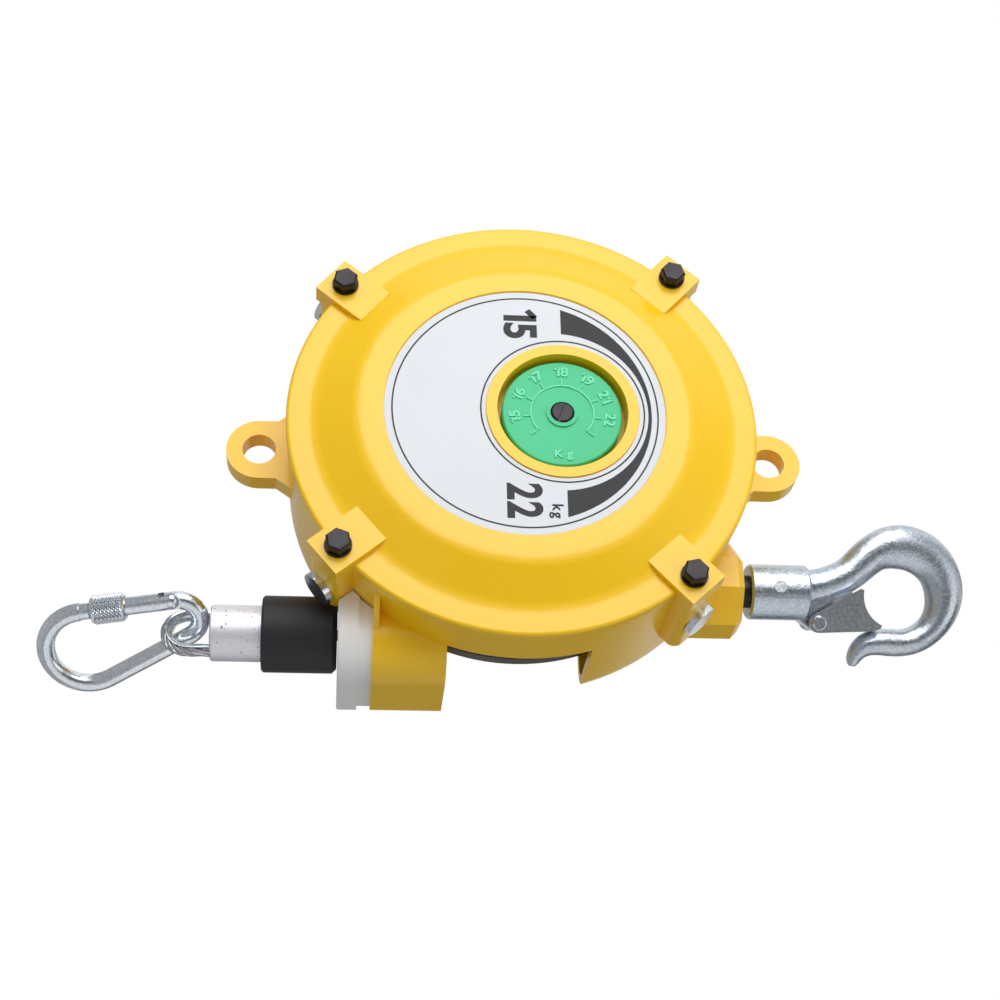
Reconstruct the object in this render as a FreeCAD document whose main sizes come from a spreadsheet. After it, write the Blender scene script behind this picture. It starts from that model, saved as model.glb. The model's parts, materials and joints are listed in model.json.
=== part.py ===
import FreeCAD, Part

# Spring balancer for hand tools: a drum with a power spring inside a two-piece casing,
# hung from a swivelling safety hook, with a wire rope that carries the tool on a carabiner.
#
# Each sub-part is drawn in the casing's own axes, as if the balancer lay on its back:
#   x  up, towards the suspension hook          y  across          z  out of the dial face
# with zero on the casing's axis at the top of the cover's flange. The placement that every
# sub-part carries then hangs it upright: row Z is x, row X is -y and row Y is -z, and the
# row's zero is the point inside the hook's bowl where the balancer hangs.

import math
import os

import Sketcher

doc = FreeCAD.newDocument("spring_balancer")

# ---------------------------------------------------------------- driving dimensions
SIZES = [
    # front cover
    ("flange_radius", 105.0, "outer radius of the cover's flange"),
    ("flange_depth", 6.1, "flange top face to the joint between the casing halves"),
    ("flange_round", 1.5, "rounding of the flange's top edge"),
    ("slope_foot_radius", 93.0, "where the cover's slope meets the flange"),
    ("slope_top_radius", 75.0, "where the slope meets the plateau"),
    ("plateau_height", 9.0, "plateau above the flange"),
    ("casting_wall", 4.0, "wall of both castings"),
    ("label_radius", 62.7, "recess for the scale label"),
    ("label_depth", 0.6, "depth of that recess"),
    ("label_sheet", 0.35, "thickness of the label"),
    # load dial and its pocket
    ("collar_radius", 34.0, "raised collar round the dial, outside"),
    ("collar_height", 0.5, "collar above the plateau"),
    ("pocket_radius", 29.2, "pocket that the dial turns in"),
    ("pocket_floor", 2.5, "thickness of the pocket's floor"),
    ("pocket_depth", 10.8, "plateau to the top of the pocket's floor"),
    ("dial_radius", 26.8, "load dial"),
    ("dial_plate", 3.6, "thickness of the dial's disc"),
    ("dial_sunk", 2.6, "dial face below the plateau"),
    ("dial_hub_radius", 7.2, "raised hub round the dial's screw"),
    ("dial_hub_height", 0.8, "that hub above the dial's face"),
    ("dial_post_radius", 5.0, "post that the dial sits on"),
    ("dial_screw_radius", 5.2, "head of the dial's screw"),
    ("dial_shank_radius", 2.5, "shank of the dial's screw"),
    ("gear_module", 1.0, "module of the dial gears"),
    ("pinion_teeth", 15, "teeth of the pinion on the arbor"),
    ("ring_teeth", 48, "teeth of the ring inside the dial"),
    # cover bolts
    ("bolt_circle", 105.0, "radius that the cover bolts stand on"),
    ("bolt_radius", 3.0, "cover bolt shank"),
    ("bolt_flats", 10.0, "hexagon across flats"),
    ("bolt_head", 5.0, "head height"),
    ("bolt_length", 27.0, "shank below the washer"),
    ("washer_radius", 6.0, "washer under a cover bolt"),
    ("washer_thick", 1.2, "its thickness"),
    ("bolt_angle_up", 47.5, "upper bolts, from the hook side"),
    ("bolt_angle_low", 140.3, "lower bolts, from the hook side"),
    ("lug_width", 20.0, "lug that a cover bolt clamps"),
    ("lug_reach", 9.0, "lug beyond the bolt's centre"),
    ("lug_rise", 3.5, "lug above the flange"),
    ("lug_drop", 45.0, "lower end of the upper lugs"),
    ("low_lug_drop", 32.5, "lower end of the lower lugs, above the buffer"),
    ("pin_radius", 4.0, "barrel nut's shank"),
    ("pin_head_radius", 8.0, "its head"),
    ("pin_head_thick", 3.0, "head thickness"),
    ("pin_depth", 24.5, "its axis below the flange top"),
    ("pin_length", 15.0, "its shank"),
    # rear case
    ("case_depth", 72.0, "back face below the flange top"),
    ("case_radius", 105.0, "outside at the joint"),
    ("case_taper", 0.3, "less by the start of the back rounding"),
    ("case_round", 11.0, "rounding into the back"),
    ("hub_radius", 18.0, "boss that carries the rear bush, inside"),
    ("hub_rise", 3.5, "its height above the inner floor"),
    ("back_boss_radius", 24.0, "boss on the outside of the back"),
    ("back_boss_rise", 2.5, "its height"),
    ("ear_distance", 118.0, "casing axis to an ear's hole"),
    ("ear_hole_radius", 7.6, "hole in an ear"),
    ("ear_radius", 15.0, "outside of an ear"),
    ("ear_thick", 10.0, "thickness of an ear"),
    ("ear_top", 33.0, "its front face below the flange top"),
    ("window_low", -33.0, "drum window, rope side"),
    ("window_high", 30.0, "drum window, hook side"),
    ("window_top", 25.0, "its upper edge below the flange top"),
    ("window_inner", 82.0, "how near it comes to the axis"),
    # rope line, guide boss and guide
    ("rope_radius", 2.38, "wire rope"),
    ("rope_line", 84.5, "rope's line from the casing axis"),
    ("rope_depth", 50.0, "rope's line below the flange top"),
    ("boss_start", 33.0, "guide boss, near end"),
    ("boss_end", 65.0, "guide boss, face for the guide"),
    ("boss_half", 26.5, "half width of the boss"),
    ("boss_big_round", 20.0, "its large outer corner"),
    ("boss_round", 6.0, "its other corners"),
    ("web_thick", 2.5, "web between boss and flange"),
    ("guide_back_thick", 6.0, "guide's inner plate"),
    ("guide_thick", 9.0, "guide's outer plate"),
    ("guide_step", 1.5, "inner plate smaller all round"),
    ("slot_half", 3.6, "half width of the rope slot"),
    ("slot_travel", 20.0, "how far the rope wanders along the slot"),
    ("guide_screw_radius", 2.5, "guide screw shank"),
    ("guide_screw_head", 4.5, "its head"),
    ("guide_screw_offset", 19.5, "screw from the boss centre, both ways"),
    # suspension hook
    ("hook_line", 58.5, "hook shaft's line from the casing axis"),
    ("shaft_radius", 7.5, "hook shaft"),
    ("hook_lug_half", 20.5, "half width of the lug round the shaft"),
    ("hook_lug_chamfer", 13.0, "its chamfered corners"),
    ("hook_lug_end", 101.5, "end face of that lug"),
    ("hook_lug_solid", 15.0, "solid end of the lug"),
    ("nut_radius", 11.0, "nut on the shaft"),
    ("nut_thick", 6.0, "its thickness"),
    ("thrust_thick", 1.5, "thrust washer"),
    ("running_gap", 0.3, "gap between parts that turn past each other"),
    ("socket_radius", 12.7, "hook's socket"),
    ("socket_start", 106.5, "its open end"),
    ("socket_end", 134.0, "where the neck starts"),
    ("hook_turn", 28.0, "hook swivelled about its shaft"),
    ("socket_bore_end", 127.0, "bottom of the socket's bore"),
    ("roll_pin_radius", 2.8, "cross pin through socket and shaft"),
    ("roll_pin_place", 119.5, "where it crosses"),
    ("roll_pin_turn", 15.0, "pin turned out of the hook's flat"),
    ("neck_radius", 8.0, "half height of the neck's section"),
    ("neck_offset", 2.5, "neck starts off the shaft's line"),
    ("bowl_centre", 177.0, "centre of the bowl along the hook"),
    ("bowl_path", 22.2, "radius of the bowl's centre line"),
    ("back_half", 10.2, "half height of the section on the bowl's back"),
    ("crown_half", 8.7, "half height of the section at the crown"),
    ("point_half", 6.3, "half height of the section before the point"),
    ("hook_half_width", 7.8, "half width of the hook's sections"),
    ("latch_pivot_x", 138.1, "latch pivot along the hook"),
    ("latch_pivot_drop", 13.2, "latch pivot off the shaft's line"),
    ("latch_length", 29.4, "latch from pivot to tip"),
    ("latch_sheet", 1.2, "sheet of the latch"),
    ("latch_half", 8.7, "half of the space between its cheeks"),
    ("rivet_radius", 2.0, "latch rivet"),
    # drum, rope and spring
    ("drum_back", 61.0, "drum's back face below the flange top"),
    ("drum_front", 23.5, "drum's front face below the flange top"),
    ("drum_flange_radius", 92.0, "drum's flanges"),
    ("drum_flange", 5.5, "back flange"),
    ("drum_rim", 2.5, "front rim"),
    ("rope_pitch", 5.3, "pitch of the grooves"),
    ("rope_turns", 5, "grooves that hold rope"),
    ("groove_slack", 0.1, "groove wider than the rope, all round"),
    ("rope_growth", 1.08, "growth of the winding radius from groove to groove"),
    ("drum_wall", 10.0, "wall under the grooves"),
    ("drum_hub_radius", 18.0, "hub round the rear bush"),
    ("lid_thick", 3.0, "lid over the spring"),
    ("arbor_radius", 10.0, "arbor in the drum"),
    ("bush_wall", 3.0, "wall of the drum's bushes"),
    ("running_clearance", 0.05, "radial clearance of turning fits"),
    ("rear_bush_step", 6.0, "rear bush above the drum's back flange"),
    ("front_bush_step", 4.0, "front bush below the lid"),
    ("spring_coils", 7, "coils of the spring that are drawn"),
    ("spring_strip", 1.6, "thickness of a drawn coil"),
    # arbor drive
    ("journal_radius", 8.0, "arbor in the rear bush and under the wheel"),
    ("neck_journal", 6.0, "arbor in the cover's bush"),
    ("spigot_radius", 4.0, "arbor inside the pinion"),
    ("wheel_teeth", 40, "teeth of the worm wheel"),
    ("worm_module", 1.5, "module of worm and wheel"),
    ("wheel_face", 9.0, "width of the worm wheel"),
    ("worm_depth", 12.0, "worm's axis below the flange top"),
    ("worm_pitch_radius", 8.0, "pitch radius of the worm"),
    ("worm_length", 24.0, "threaded length"),
    ("worm_shaft_radius", 4.0, "worm's shaft"),
    ("worm_post_thick", 6.0, "bearing posts under the cover"),
    ("worm_reach", 97.0, "outer end of the worm's shaft"),
    # rope end
    ("buffer_radius", 17.0, "rubber buffer"),
    ("buffer_length", 33.0, "its length"),
    ("ferrule_radius", 12.5, "rope ferrule"),
    ("ferrule_length", 22.5, "what shows of it below the buffer"),
    ("eye_radius", 10.1, "rope's centre line round the eye"),
    ("eye_leg", 9.5, "straight leg of the eye"),
    ("thimble_radius", 3.3, "outside of the thimble's channel"),
    ("eye_turn", -12.0, "eye's plane turned about the rope"),
    # carabiner
    ("rod_radius", 4.0, "carabiner rod"),
    ("narrow_radius", 9.5, "centre line of the narrow bend"),
    ("wide_radius", 18.0, "centre line of the wide bend"),
    ("bend_distance", 43.0, "between the two bend centres"),
    ("gate_start", 1.5, "hinge pin from the narrow bend"),
    ("gate_length", 35.0, "gate from its pin to its end"),
    ("gate_gap", 0.5, "gap at the gate's nose"),
    ("gate_slot", 3.8, "slot in the gate"),
    ("tongue_thick", 3.4, "tongue in that slot"),
    ("gate_pin_radius", 1.2, "gate's hinge pin"),
    ("sleeve_radius", 5.9, "screw sleeve"),
    ("sleeve_length", 15.0, "its length"),
    ("sleeve_clearance", 0.3, "sleeve's bore wider than the rod, all round"),
    ("nose_length", 4.6, "turned nose that the sleeve closes over"),
    ("nose_step", 0.4, "nose thinner than the rod, all round"),
    ("carabiner_turn", 54.0, "carabiner's plane turned about the rope"),
    ("carabiner_lean", 21.0, "carabiner leans off the rope's line"),
    ("carabiner_seat", 5.8, "rod in the eye, from the ferrule"),
    ("carabiner_aside", 2.0, "rod in the eye, off the rope's line"),
    ("carabiner_roll", 50.0, "where on the narrow bend the eye sits"),
]

sheet = doc.addObject("Spreadsheet::Sheet", "Sizes")
for row, (alias, amount, note) in enumerate(SIZES, start=1):
    sheet.set(f"A{row}", alias)
    sheet.set(f"B{row}", str(amount))
    sheet.set(f"C{row}", note)
    sheet.setAlias(f"B{row}", alias)
doc.recompute()


class Size:
    """A number that also remembers the sheet formula it comes from."""

    def __init__(self, value, formula):
        self.value = float(value)
        self.formula = formula

    def join(self, other, sign, value):
        return Size(value, f"({self.formula} {sign} {other.formula})")

    def __add__(self, other):
        other = as_size(other)
        return self.join(other, "+", self.value + other.value)

    def __sub__(self, other):
        other = as_size(other)
        return self.join(other, "-", self.value - other.value)

    def __mul__(self, other):
        other = as_size(other)
        return self.join(other, "*", self.value * other.value)

    def __truediv__(self, other):
        other = as_size(other)
        return self.join(other, "/", self.value / other.value)

    def __radd__(self, other):
        return as_size(other) + self

    def __rsub__(self, other):
        return as_size(other) - self

    def __rmul__(self, other):
        return as_size(other) * self

    def __rtruediv__(self, other):
        return as_size(other) / self

    def __neg__(self):
        return Size(-self.value, f"(0 - {self.formula})")

    def __float__(self):
        return self.value


def as_size(number):
    if isinstance(number, Size):
        return number
    return Size(number, f"({float(number)})")


def sine(angle):
    angle = as_size(angle)
    return Size(math.sin(math.radians(angle.value)), f"sin({angle.formula})")


def cosine(angle):
    angle = as_size(angle)
    return Size(math.cos(math.radians(angle.value)), f"cos({angle.formula})")


def root(number):
    return Size(math.sqrt(number.value), f"sqrt({number.formula})")


def size(alias):
    return Size(sheet.get(alias), f"Sizes.{alias}")


class Named:
    """Every sheet value as an attribute: D.flange_radius and so on."""

    def __init__(self):
        for alias, amount, note in SIZES:
            setattr(self, alias, size(alias))


D = Named()

# ---------------------------------------------------------------- places shared by sub-parts
gear_centre = (D.ring_teeth - D.pinion_teeth) * D.gear_module / 2
plateau_under = D.plateau_height - D.casting_wall
floor_top = D.plateau_height - D.pocket_depth
floor_under = floor_top - D.pocket_floor
bush_under = floor_under - 2.4
wheel_pitch_radius = D.wheel_teeth * D.worm_module / 2
worm_x = -(wheel_pitch_radius + D.worm_pitch_radius)
inner_floor = -(D.case_depth - D.casting_wall)
hub_face = inner_floor + D.hub_rise
crown = D.bowl_centre + D.bowl_path - D.crown_half
guide_back_face = -(D.boss_end + D.guide_back_thick)
guide_face = guide_back_face - D.guide_thick
buffer_top = guide_face - D.running_gap
buffer_low = buffer_top - D.buffer_length
ferrule_low = buffer_low - D.ferrule_length
eye_centre = ferrule_low - D.eye_leg
bolt_angles = (D.bolt_angle_up, -D.bolt_angle_up, D.bolt_angle_low, -D.bolt_angle_low)
nut_top = D.hook_lug_end - D.hook_lug_solid - D.running_gap

HANG = FreeCAD.Rotation(FreeCAD.Matrix(0, -1, 0, 0, 0, 0, -1, 0, 1, 0, 0, 0, 0, 0, 0, 1))
UPRIGHT = FreeCAD.Rotation()
ALONG_X = FreeCAD.Rotation(FreeCAD.Vector(0, 0, 1), FreeCAD.Vector(1, 0, 0))
ALONG_Y = FreeCAD.Rotation(FreeCAD.Vector(0, 0, 1), FreeCAD.Vector(0, 1, 0))

sub_parts = []


def hang(item, label, x=0, y=0, z=0, turned=UPRIGHT):
    """Label a sub-part and hang it upright, its own zero at (x, y, z) in casing axes."""
    item.Label = label
    item.Placement = FreeCAD.Placement(FreeCAD.Vector(0, 0, 0), HANG.multiply(turned))
    item.setExpression("Placement.Base.x", (-as_size(y) - D.hook_line).formula)
    item.setExpression("Placement.Base.y", (-as_size(z) - D.rope_depth).formula)
    item.setExpression("Placement.Base.z", (as_size(x) - crown).formula)
    sub_parts.append(item)
    return item


# ---------------------------------------------------------------- drawing helpers
def new_body(name):
    return doc.addObject("PartDesign::Body", name)


def new_sketch(body, plane="XY", height=0):
    """A sketch on one of the body's origin planes, raised along the plane's normal."""
    sketch = body.newObject("Sketcher::SketchObject", "outline")
    for feature in body.Origin.OriginFeatures:
        if feature.Role == plane + "_Plane":
            sketch.AttachmentSupport = [(feature, "")]
    sketch.MapMode = "FlatFace"
    sketch.setExpression("AttachmentOffset.Base.z", as_size(height).formula)
    return sketch


def bind(sketch, kind, places, amount):
    """Add one dimension to a sketch and tie it to its sheet formula."""
    amount = as_size(amount)
    number = sketch.addConstraint(Sketcher.Constraint(kind, *places, amount.value))
    sketch.setExpression(f"Constraints[{number}]", amount.formula)


def fix_point(sketch, geometry, end, x, y):
    bind(sketch, "DistanceX", (-1, 1, geometry, end), x)
    bind(sketch, "DistanceY", (-1, 1, geometry, end), y)


def circle(sketch, x, y, radius):
    middle = FreeCAD.Vector(float(x), float(y), 0)
    number = sketch.addGeometry(Part.Circle(middle, FreeCAD.Vector(0, 0, 1), float(radius)))
    bind(sketch, "Radius", (number,), radius)
    fix_point(sketch, number, 3, x, y)


def arc_between(start, end, radius, side):
    """The short arc from start to end; side is 1 when its centre lies to the left."""
    chord = end - start
    middle = (start + end) * 0.5
    left = FreeCAD.Vector(-chord.y, chord.x, 0).normalize()
    reach = math.sqrt(max(radius ** 2 - (chord.Length / 2) ** 2, 0.0))
    centre = middle + left * (reach * side)
    first, last = (start, end) if side > 0 else (end, start)
    a_first = math.atan2(first.y - centre.y, first.x - centre.x)
    a_last = math.atan2(last.y - centre.y, last.x - centre.x)
    ring = Part.Circle(centre, FreeCAD.Vector(0, 0, 1), radius)
    return Part.ArcOfCircle(ring, a_first, a_last)


def outline(sketch, corners, closed=True):
    """A chain of lines and arcs. A corner is (x, y); (x, y, r) starts an arc of radius |r|
    to the next corner, with its centre to the left for r > 0 and to the right for r < 0."""
    count = len(corners)
    spans = count if closed else count - 1
    ends = []
    for index in range(spans):
        here = corners[index]
        there = corners[(index + 1) % count]
        start = FreeCAD.Vector(float(here[0]), float(here[1]), 0)
        end = FreeCAD.Vector(float(there[0]), float(there[1]), 0)
        if len(here) == 2:
            number = sketch.addGeometry(Part.LineSegment(start, end))
            ends.append((number, 1, 2))
            continue
        side = 1 if float(here[2]) > 0 else -1
        radius = here[2] if side > 0 else -here[2]
        number = sketch.addGeometry(arc_between(start, end, float(radius), side))
        bind(sketch, "Radius", (number,), radius)
        ends.append((number, 1, 2) if side > 0 else (number, 2, 1))
    for index, (number, first, last) in enumerate(ends):
        fix_point(sketch, number, first, corners[index][0], corners[index][1])
        if index + 1 < len(ends) or closed:
            follower = ends[(index + 1) % len(ends)]
            sketch.addConstraint(Sketcher.Constraint("Coincident", number, last, follower[0], follower[1]))
    if not closed:
        fix_point(sketch, ends[-1][0], ends[-1][2], corners[-1][0], corners[-1][1])


def volume(body):
    doc.recompute()
    return body.Shape.Volume if body.Tip and not body.Shape.isNull() else 0.0


def pad(body, sketch, length, reverse=False, middle=False):
    before = volume(body)
    feature = body.newObject("PartDesign::Pad", "pad")
    feature.Profile = sketch
    feature.setExpression("Length", as_size(length).formula)
    feature.Reversed = reverse
    feature.Midplane = middle
    if volume(body) <= before:
        raise RuntimeError(f"{body.Name}: a pad added nothing")
    return feature


def pocket(body, sketch, length, reverse=False, middle=False):
    before = volume(body)
    feature = body.newObject("PartDesign::Pocket", "pocket")
    feature.Profile = sketch
    feature.setExpression("Length", as_size(length).formula)
    feature.Reversed = reverse
    feature.Midplane = middle
    if volume(body) >= before:
        raise RuntimeError(f"{body.Name}: a pocket cut nothing")
    return feature


def revolve(body, corners, cut=False):
    """Turn a half profile (radius, height) round the body's z axis."""
    before = volume(body)
    sketch = new_sketch(body, "XZ")
    outline(sketch, corners)
    kind = "PartDesign::Groove" if cut else "PartDesign::Revolution"
    feature = body.newObject(kind, "turned")
    feature.Profile = sketch
    feature.ReferenceAxis = (sketch, ["V_Axis"])
    feature.Angle = 360
    after = volume(body)
    if (after >= before) if cut else (after <= before):
        raise RuntimeError(f"{body.Name}: turning changed nothing")
    return feature


def round_edges(body, radius, chosen, kind="Fillet"):
    """Fillet or chamfer the edges of the body's tip that chosen(edge) picks."""
    doc.recompute()
    tip = body.Tip
    names = [f"Edge{n}" for n, edge in enumerate(tip.Shape.Edges, start=1) if chosen(edge)]
    if not names:
        raise RuntimeError(f"{body.Name}: no edge to round")
    feature = body.newObject("PartDesign::" + kind, "rounding")
    feature.Base = (tip, names)
    feature.setExpression("Radius" if kind == "Fillet" else "Size", as_size(radius).formula)
    doc.recompute()
    return feature


def turned_piece(name, profile, **place):
    body = new_body(name)
    revolve(body, profile)
    return hang(body, name, **place)


def tube(inner, outer, low, high):
    return [(inner, low), (outer, low), (outer, high), (inner, high)]


def rod(radius, low, high):
    return tube(0, radius, low, high)


def polar(radius, across, angle):
    """Point at a radius along an angle and a distance across it, as sheet formulas."""
    x = radius * cosine(angle) - across * sine(angle)
    y = radius * sine(angle) + across * cosine(angle)
    return (x, y)


def bar_across(sketch, inner, outer, half, angle):
    corners = [(inner, -half), (outer, -half), (outer, half), (inner, half)]
    outline(sketch, [polar(as_size(r), as_size(t), angle) for r, t in corners])


# ---------------------------------------------------------------- casing
def make_front_cover():
    body = new_body("front_cover")
    low = -D.flange_depth
    revolve(body, [
        (0, low),
        (D.flange_radius, low),
        (D.flange_radius, -D.flange_round, D.flange_round),
        (D.flange_radius - D.flange_round, 0),
        (D.slope_foot_radius, 0),
        (D.slope_top_radius, D.plateau_height),
        (0, D.plateau_height),
    ])
    lugs = new_sketch(body, "XY", low)
    for angle in bolt_angles:
        reach = D.bolt_circle + D.lug_reach
        bar_across(lugs, D.slope_foot_radius - 6, reach, D.lug_width / 2, angle)
    pad(body, lugs, D.flange_depth + D.lug_rise)
    inner_foot = D.slope_foot_radius - D.casting_wall / 2
    inner_top = D.slope_top_radius - D.casting_wall / 2
    revolve(body, [
        (0, low),
        (inner_foot, low),
        (inner_foot, -D.casting_wall),
        (inner_top, plateau_under),
        (0, plateau_under),
    ], cut=True)
    collar = new_sketch(body, "XY", D.plateau_height)
    circle(collar, gear_centre, 0, D.collar_radius)
    pad(body, collar, D.collar_height)
    cup = new_sketch(body, "XY", floor_under)
    circle(cup, gear_centre, 0, D.pocket_radius + D.casting_wall - 1)
    pad(body, cup, plateau_under - floor_under + 1)
    posts = new_sketch(body, "XY", -(D.worm_depth + D.worm_shaft_radius + 2))
    near = D.worm_length / 2 + 2
    for side in (-1, 1):
        inner = side * near
        outer = side * (near + D.worm_post_thick)
        low_y, high_y = (inner, outer) if side > 0 else (outer, inner)
        half = D.worm_shaft_radius + 4
        outline(posts, [(worm_x - half, low_y), (worm_x + half, low_y),
                        (worm_x + half, high_y), (worm_x - half, high_y)])
    pad(body, posts, D.worm_depth + D.worm_shaft_radius + 2 + plateau_under + 1)
    recess = new_sketch(body, "XY", D.plateau_height)
    circle(recess, 0, 0, D.label_radius)
    circle(recess, gear_centre, 0, D.collar_radius)
    pocket(body, recess, D.label_depth)
    well = new_sketch(body, "XY", D.plateau_height + D.collar_height)
    circle(well, gear_centre, 0, D.pocket_radius)
    pocket(body, well, D.pocket_depth + D.collar_height)
    post = new_sketch(body, "XY", floor_top - 1)
    circle(post, gear_centre, 0, D.dial_post_radius)
    dial_under = D.plateau_height - D.dial_sunk - D.dial_plate
    pad(body, post, dial_under - floor_top + 1 - D.running_gap)
    seat = new_sketch(body, "XY", bush_under)
    circle(seat, 0, 0, D.neck_journal + 5)
    pad(body, seat, floor_under - bush_under + 1)
    bore = new_sketch(body, "XY", floor_top)
    circle(bore, 0, 0, D.neck_journal + 2.5)
    pocket(body, bore, floor_top - bush_under)
    thread = new_sketch(body, "XY", dial_under)
    circle(thread, gear_centre, 0, D.dial_shank_radius)
    pocket(body, thread, D.pocket_depth)
    bolts = new_sketch(body, "XY", D.lug_rise)
    for angle in bolt_angles:
        x, y = polar(D.bolt_circle, as_size(0), angle)
        circle(bolts, x, y, D.bolt_radius + 0.3)
    pocket(body, bolts, D.lug_rise + D.flange_depth)
    worm_bore = new_sketch(body, "XZ", D.slope_foot_radius)
    circle(worm_bore, worm_x, -D.worm_depth, D.worm_shaft_radius + D.running_clearance)
    pocket(body, worm_bore, D.slope_foot_radius * 2)
    return hang(body, "front_cover")


def make_rear_case():
    body = new_body("rear_case")
    top = -D.flange_depth
    back = -D.case_depth
    foot_radius = D.case_radius - D.case_taper
    revolve(body, [
        (0, back - D.back_boss_rise),
        (D.back_boss_radius, back - D.back_boss_rise),
        (D.back_boss_radius, back),
        (foot_radius - D.case_round, back, D.case_round),
        (foot_radius, back + D.case_round),
        (D.case_radius, top),
        (0, top),
    ])
    reach = D.bolt_circle + D.lug_reach
    for pair, drop in ((bolt_angles[:2], D.lug_drop), (bolt_angles[2:], D.low_lug_drop)):
        lugs = new_sketch(body, "XY", top)
        for angle in pair:
            bar_across(lugs, D.case_radius - 8, reach, D.lug_width / 2, angle)
        pad(body, lugs, drop - D.flange_depth, reverse=True)
    corner = D.bolt_circle + D.lug_reach - 2
    round_edges(body, 5, lambda edge: is_upright(edge) and radius_of(edge) > float(corner))
    ears = new_sketch(body, "XY", -D.ear_top)
    for side in (1, -1):
        wide = D.ear_radius + 8
        root_x = D.case_radius - 6
        outline(ears, [
            (side * root_x, -wide * side),
            (side * (D.case_radius + 5), -D.ear_radius * side),
            (side * D.ear_distance, -D.ear_radius * side, D.ear_radius),
            (side * (D.ear_distance + D.ear_radius), 0, D.ear_radius),
            (side * D.ear_distance, D.ear_radius * side),
            (side * (D.case_radius + 5), D.ear_radius * side),
            (side * root_x, wide * side),
        ])
    pad(body, ears, D.ear_thick, reverse=True)
    boss = new_sketch(body, "YZ", -D.boss_end)
    boss_outline(boss, 0)
    pad(body, boss, D.boss_end - D.boss_start)
    web = new_sketch(body, "YZ", -D.boss_end)
    outline(web, [
        (-D.hook_line, -D.rope_depth),
        (-(D.rope_line + 14), -D.rope_depth + 12),
        (-(D.rope_line + 6), top - 10),
        (-(D.rope_line - 2), top),
        (-(D.hook_line + 5), top),
    ])
    pad(body, web, D.web_thick)
    lug = new_sketch(body, "YZ", D.case_radius * 0.6)
    half = D.hook_lug_half
    cut = D.hook_lug_chamfer
    eight = []
    for across, up in ((half, -half + cut), (half, half - cut), (half - cut, half), (-half + cut, half),
                       (-half, half - cut), (-half, -half + cut), (-half + cut, -half), (half - cut, -half)):
        eight.append((across - D.hook_line, up - D.rope_depth))
    outline(lug, eight)
    pad(body, lug, D.hook_lug_end - D.case_radius * 0.6)
    end_face = D.hook_lug_end
    round_edges(body, 3, lambda edge: on_plane_x(edge, float(end_face)), kind="Chamfer")
    inner_top = D.case_radius - D.casting_wall - 0.5
    inner_foot = foot_radius - D.casting_wall
    inner_round = D.case_round - D.casting_wall
    revolve(body, [
        (0, hub_face),
        (D.hub_radius, hub_face),
        (D.hub_radius, inner_floor),
        (inner_foot - inner_round, inner_floor, inner_round),
        (inner_foot, inner_floor + inner_round),
        (inner_top, top),
        (0, top),
    ], cut=True)
    window = new_sketch(body, "XY", -D.window_top)
    outline(window, [
        (D.window_low, -(D.case_radius + 20)),
        (D.window_high, -(D.case_radius + 20)),
        (D.window_high, -D.window_inner),
        (D.window_low, -D.window_inner),
    ])
    pocket(body, window, D.case_depth)
    holes = new_sketch(body, "XY", -D.ear_top)
    for side in (1, -1):
        circle(holes, side * D.ear_distance, 0, D.ear_hole_radius)
    pocket(body, holes, D.ear_thick)
    bush = new_sketch(body, "XY", hub_face)
    circle(bush, 0, 0, D.journal_radius + 3)
    pocket(body, bush, D.hub_rise + D.casting_wall + D.back_boss_rise)
    bolts = new_sketch(body, "XY", top)
    for angle in bolt_angles:
        x, y = polar(D.bolt_circle, as_size(0), angle)
        circle(bolts, x, y, D.bolt_radius + 0.3)
    pocket(body, bolts, D.bolt_length - D.flange_depth - D.lug_rise + 3)
    shaft = new_sketch(body, "YZ", D.hook_lug_end)
    circle(shaft, -D.hook_line, -D.rope_depth, D.shaft_radius + D.running_clearance)
    pocket(body, shaft, D.hook_lug_end * 0.4)
    nut_room = new_sketch(body, "YZ", D.hook_lug_end - D.hook_lug_solid)
    circle(nut_room, -D.hook_line, -D.rope_depth, D.nut_radius + 1.5)
    pocket(body, nut_room, D.hook_lug_end * 0.3)
    slot = new_sketch(body, "YZ", -D.boss_start)
    rope_slot(slot, 0)
    pocket(body, slot, D.boss_end - D.boss_start)
    screws = new_sketch(body, "YZ", -D.boss_end)
    for side in (-1, 1):
        across, up = guide_screw_place(side)
        circle(screws, across, up, D.guide_screw_radius)
    pocket(body, screws, 12, reverse=True)
    worm_exit = new_sketch(body, "XZ", -(D.case_radius + 5))
    circle(worm_exit, worm_x, -D.worm_depth, D.worm_shaft_radius + 0.4)
    pocket(body, worm_exit, D.case_radius * 0.5, reverse=True)
    for angle in bolt_angles:
        drill = body.newObject("PartDesign::SubtractiveCylinder", "pin_bore")
        drill.setExpression("Radius", D.pin_radius.formula)
        drill.setExpression("Height", (D.pin_length + 2).formula)
        place_radial(drill, D.bolt_circle + D.lug_reach - D.pin_length - 1, angle)
        doc.recompute()
    return hang(body, "rear_case")


def is_upright(edge):
    first, last = edge.Vertexes[0].Point, edge.Vertexes[-1].Point
    return abs(first.x - last.x) < 1e-4 and abs(first.y - last.y) < 1e-4 and abs(first.z - last.z) > 1


def radius_of(edge):
    point = edge.Vertexes[0].Point
    return math.hypot(point.x, point.y)


def on_plane_x(edge, x):
    return all(abs(vertex.Point.x - x) < 1e-4 for vertex in edge.Vertexes)


def place_radial(item, radius, angle):
    """Point an item's own z outwards from the casing axis at an angle, at the pins' depth."""
    turned = FreeCAD.Rotation(FreeCAD.Vector(0, 0, 1), float(angle))
    item.Placement = FreeCAD.Placement(FreeCAD.Vector(), turned.multiply(ALONG_X))
    item.setExpression("Placement.Base.x", (radius * cosine(angle)).formula)
    item.setExpression("Placement.Base.y", (radius * sine(angle)).formula)
    item.setExpression("Placement.Base.z", (-D.pin_depth).formula)


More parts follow.
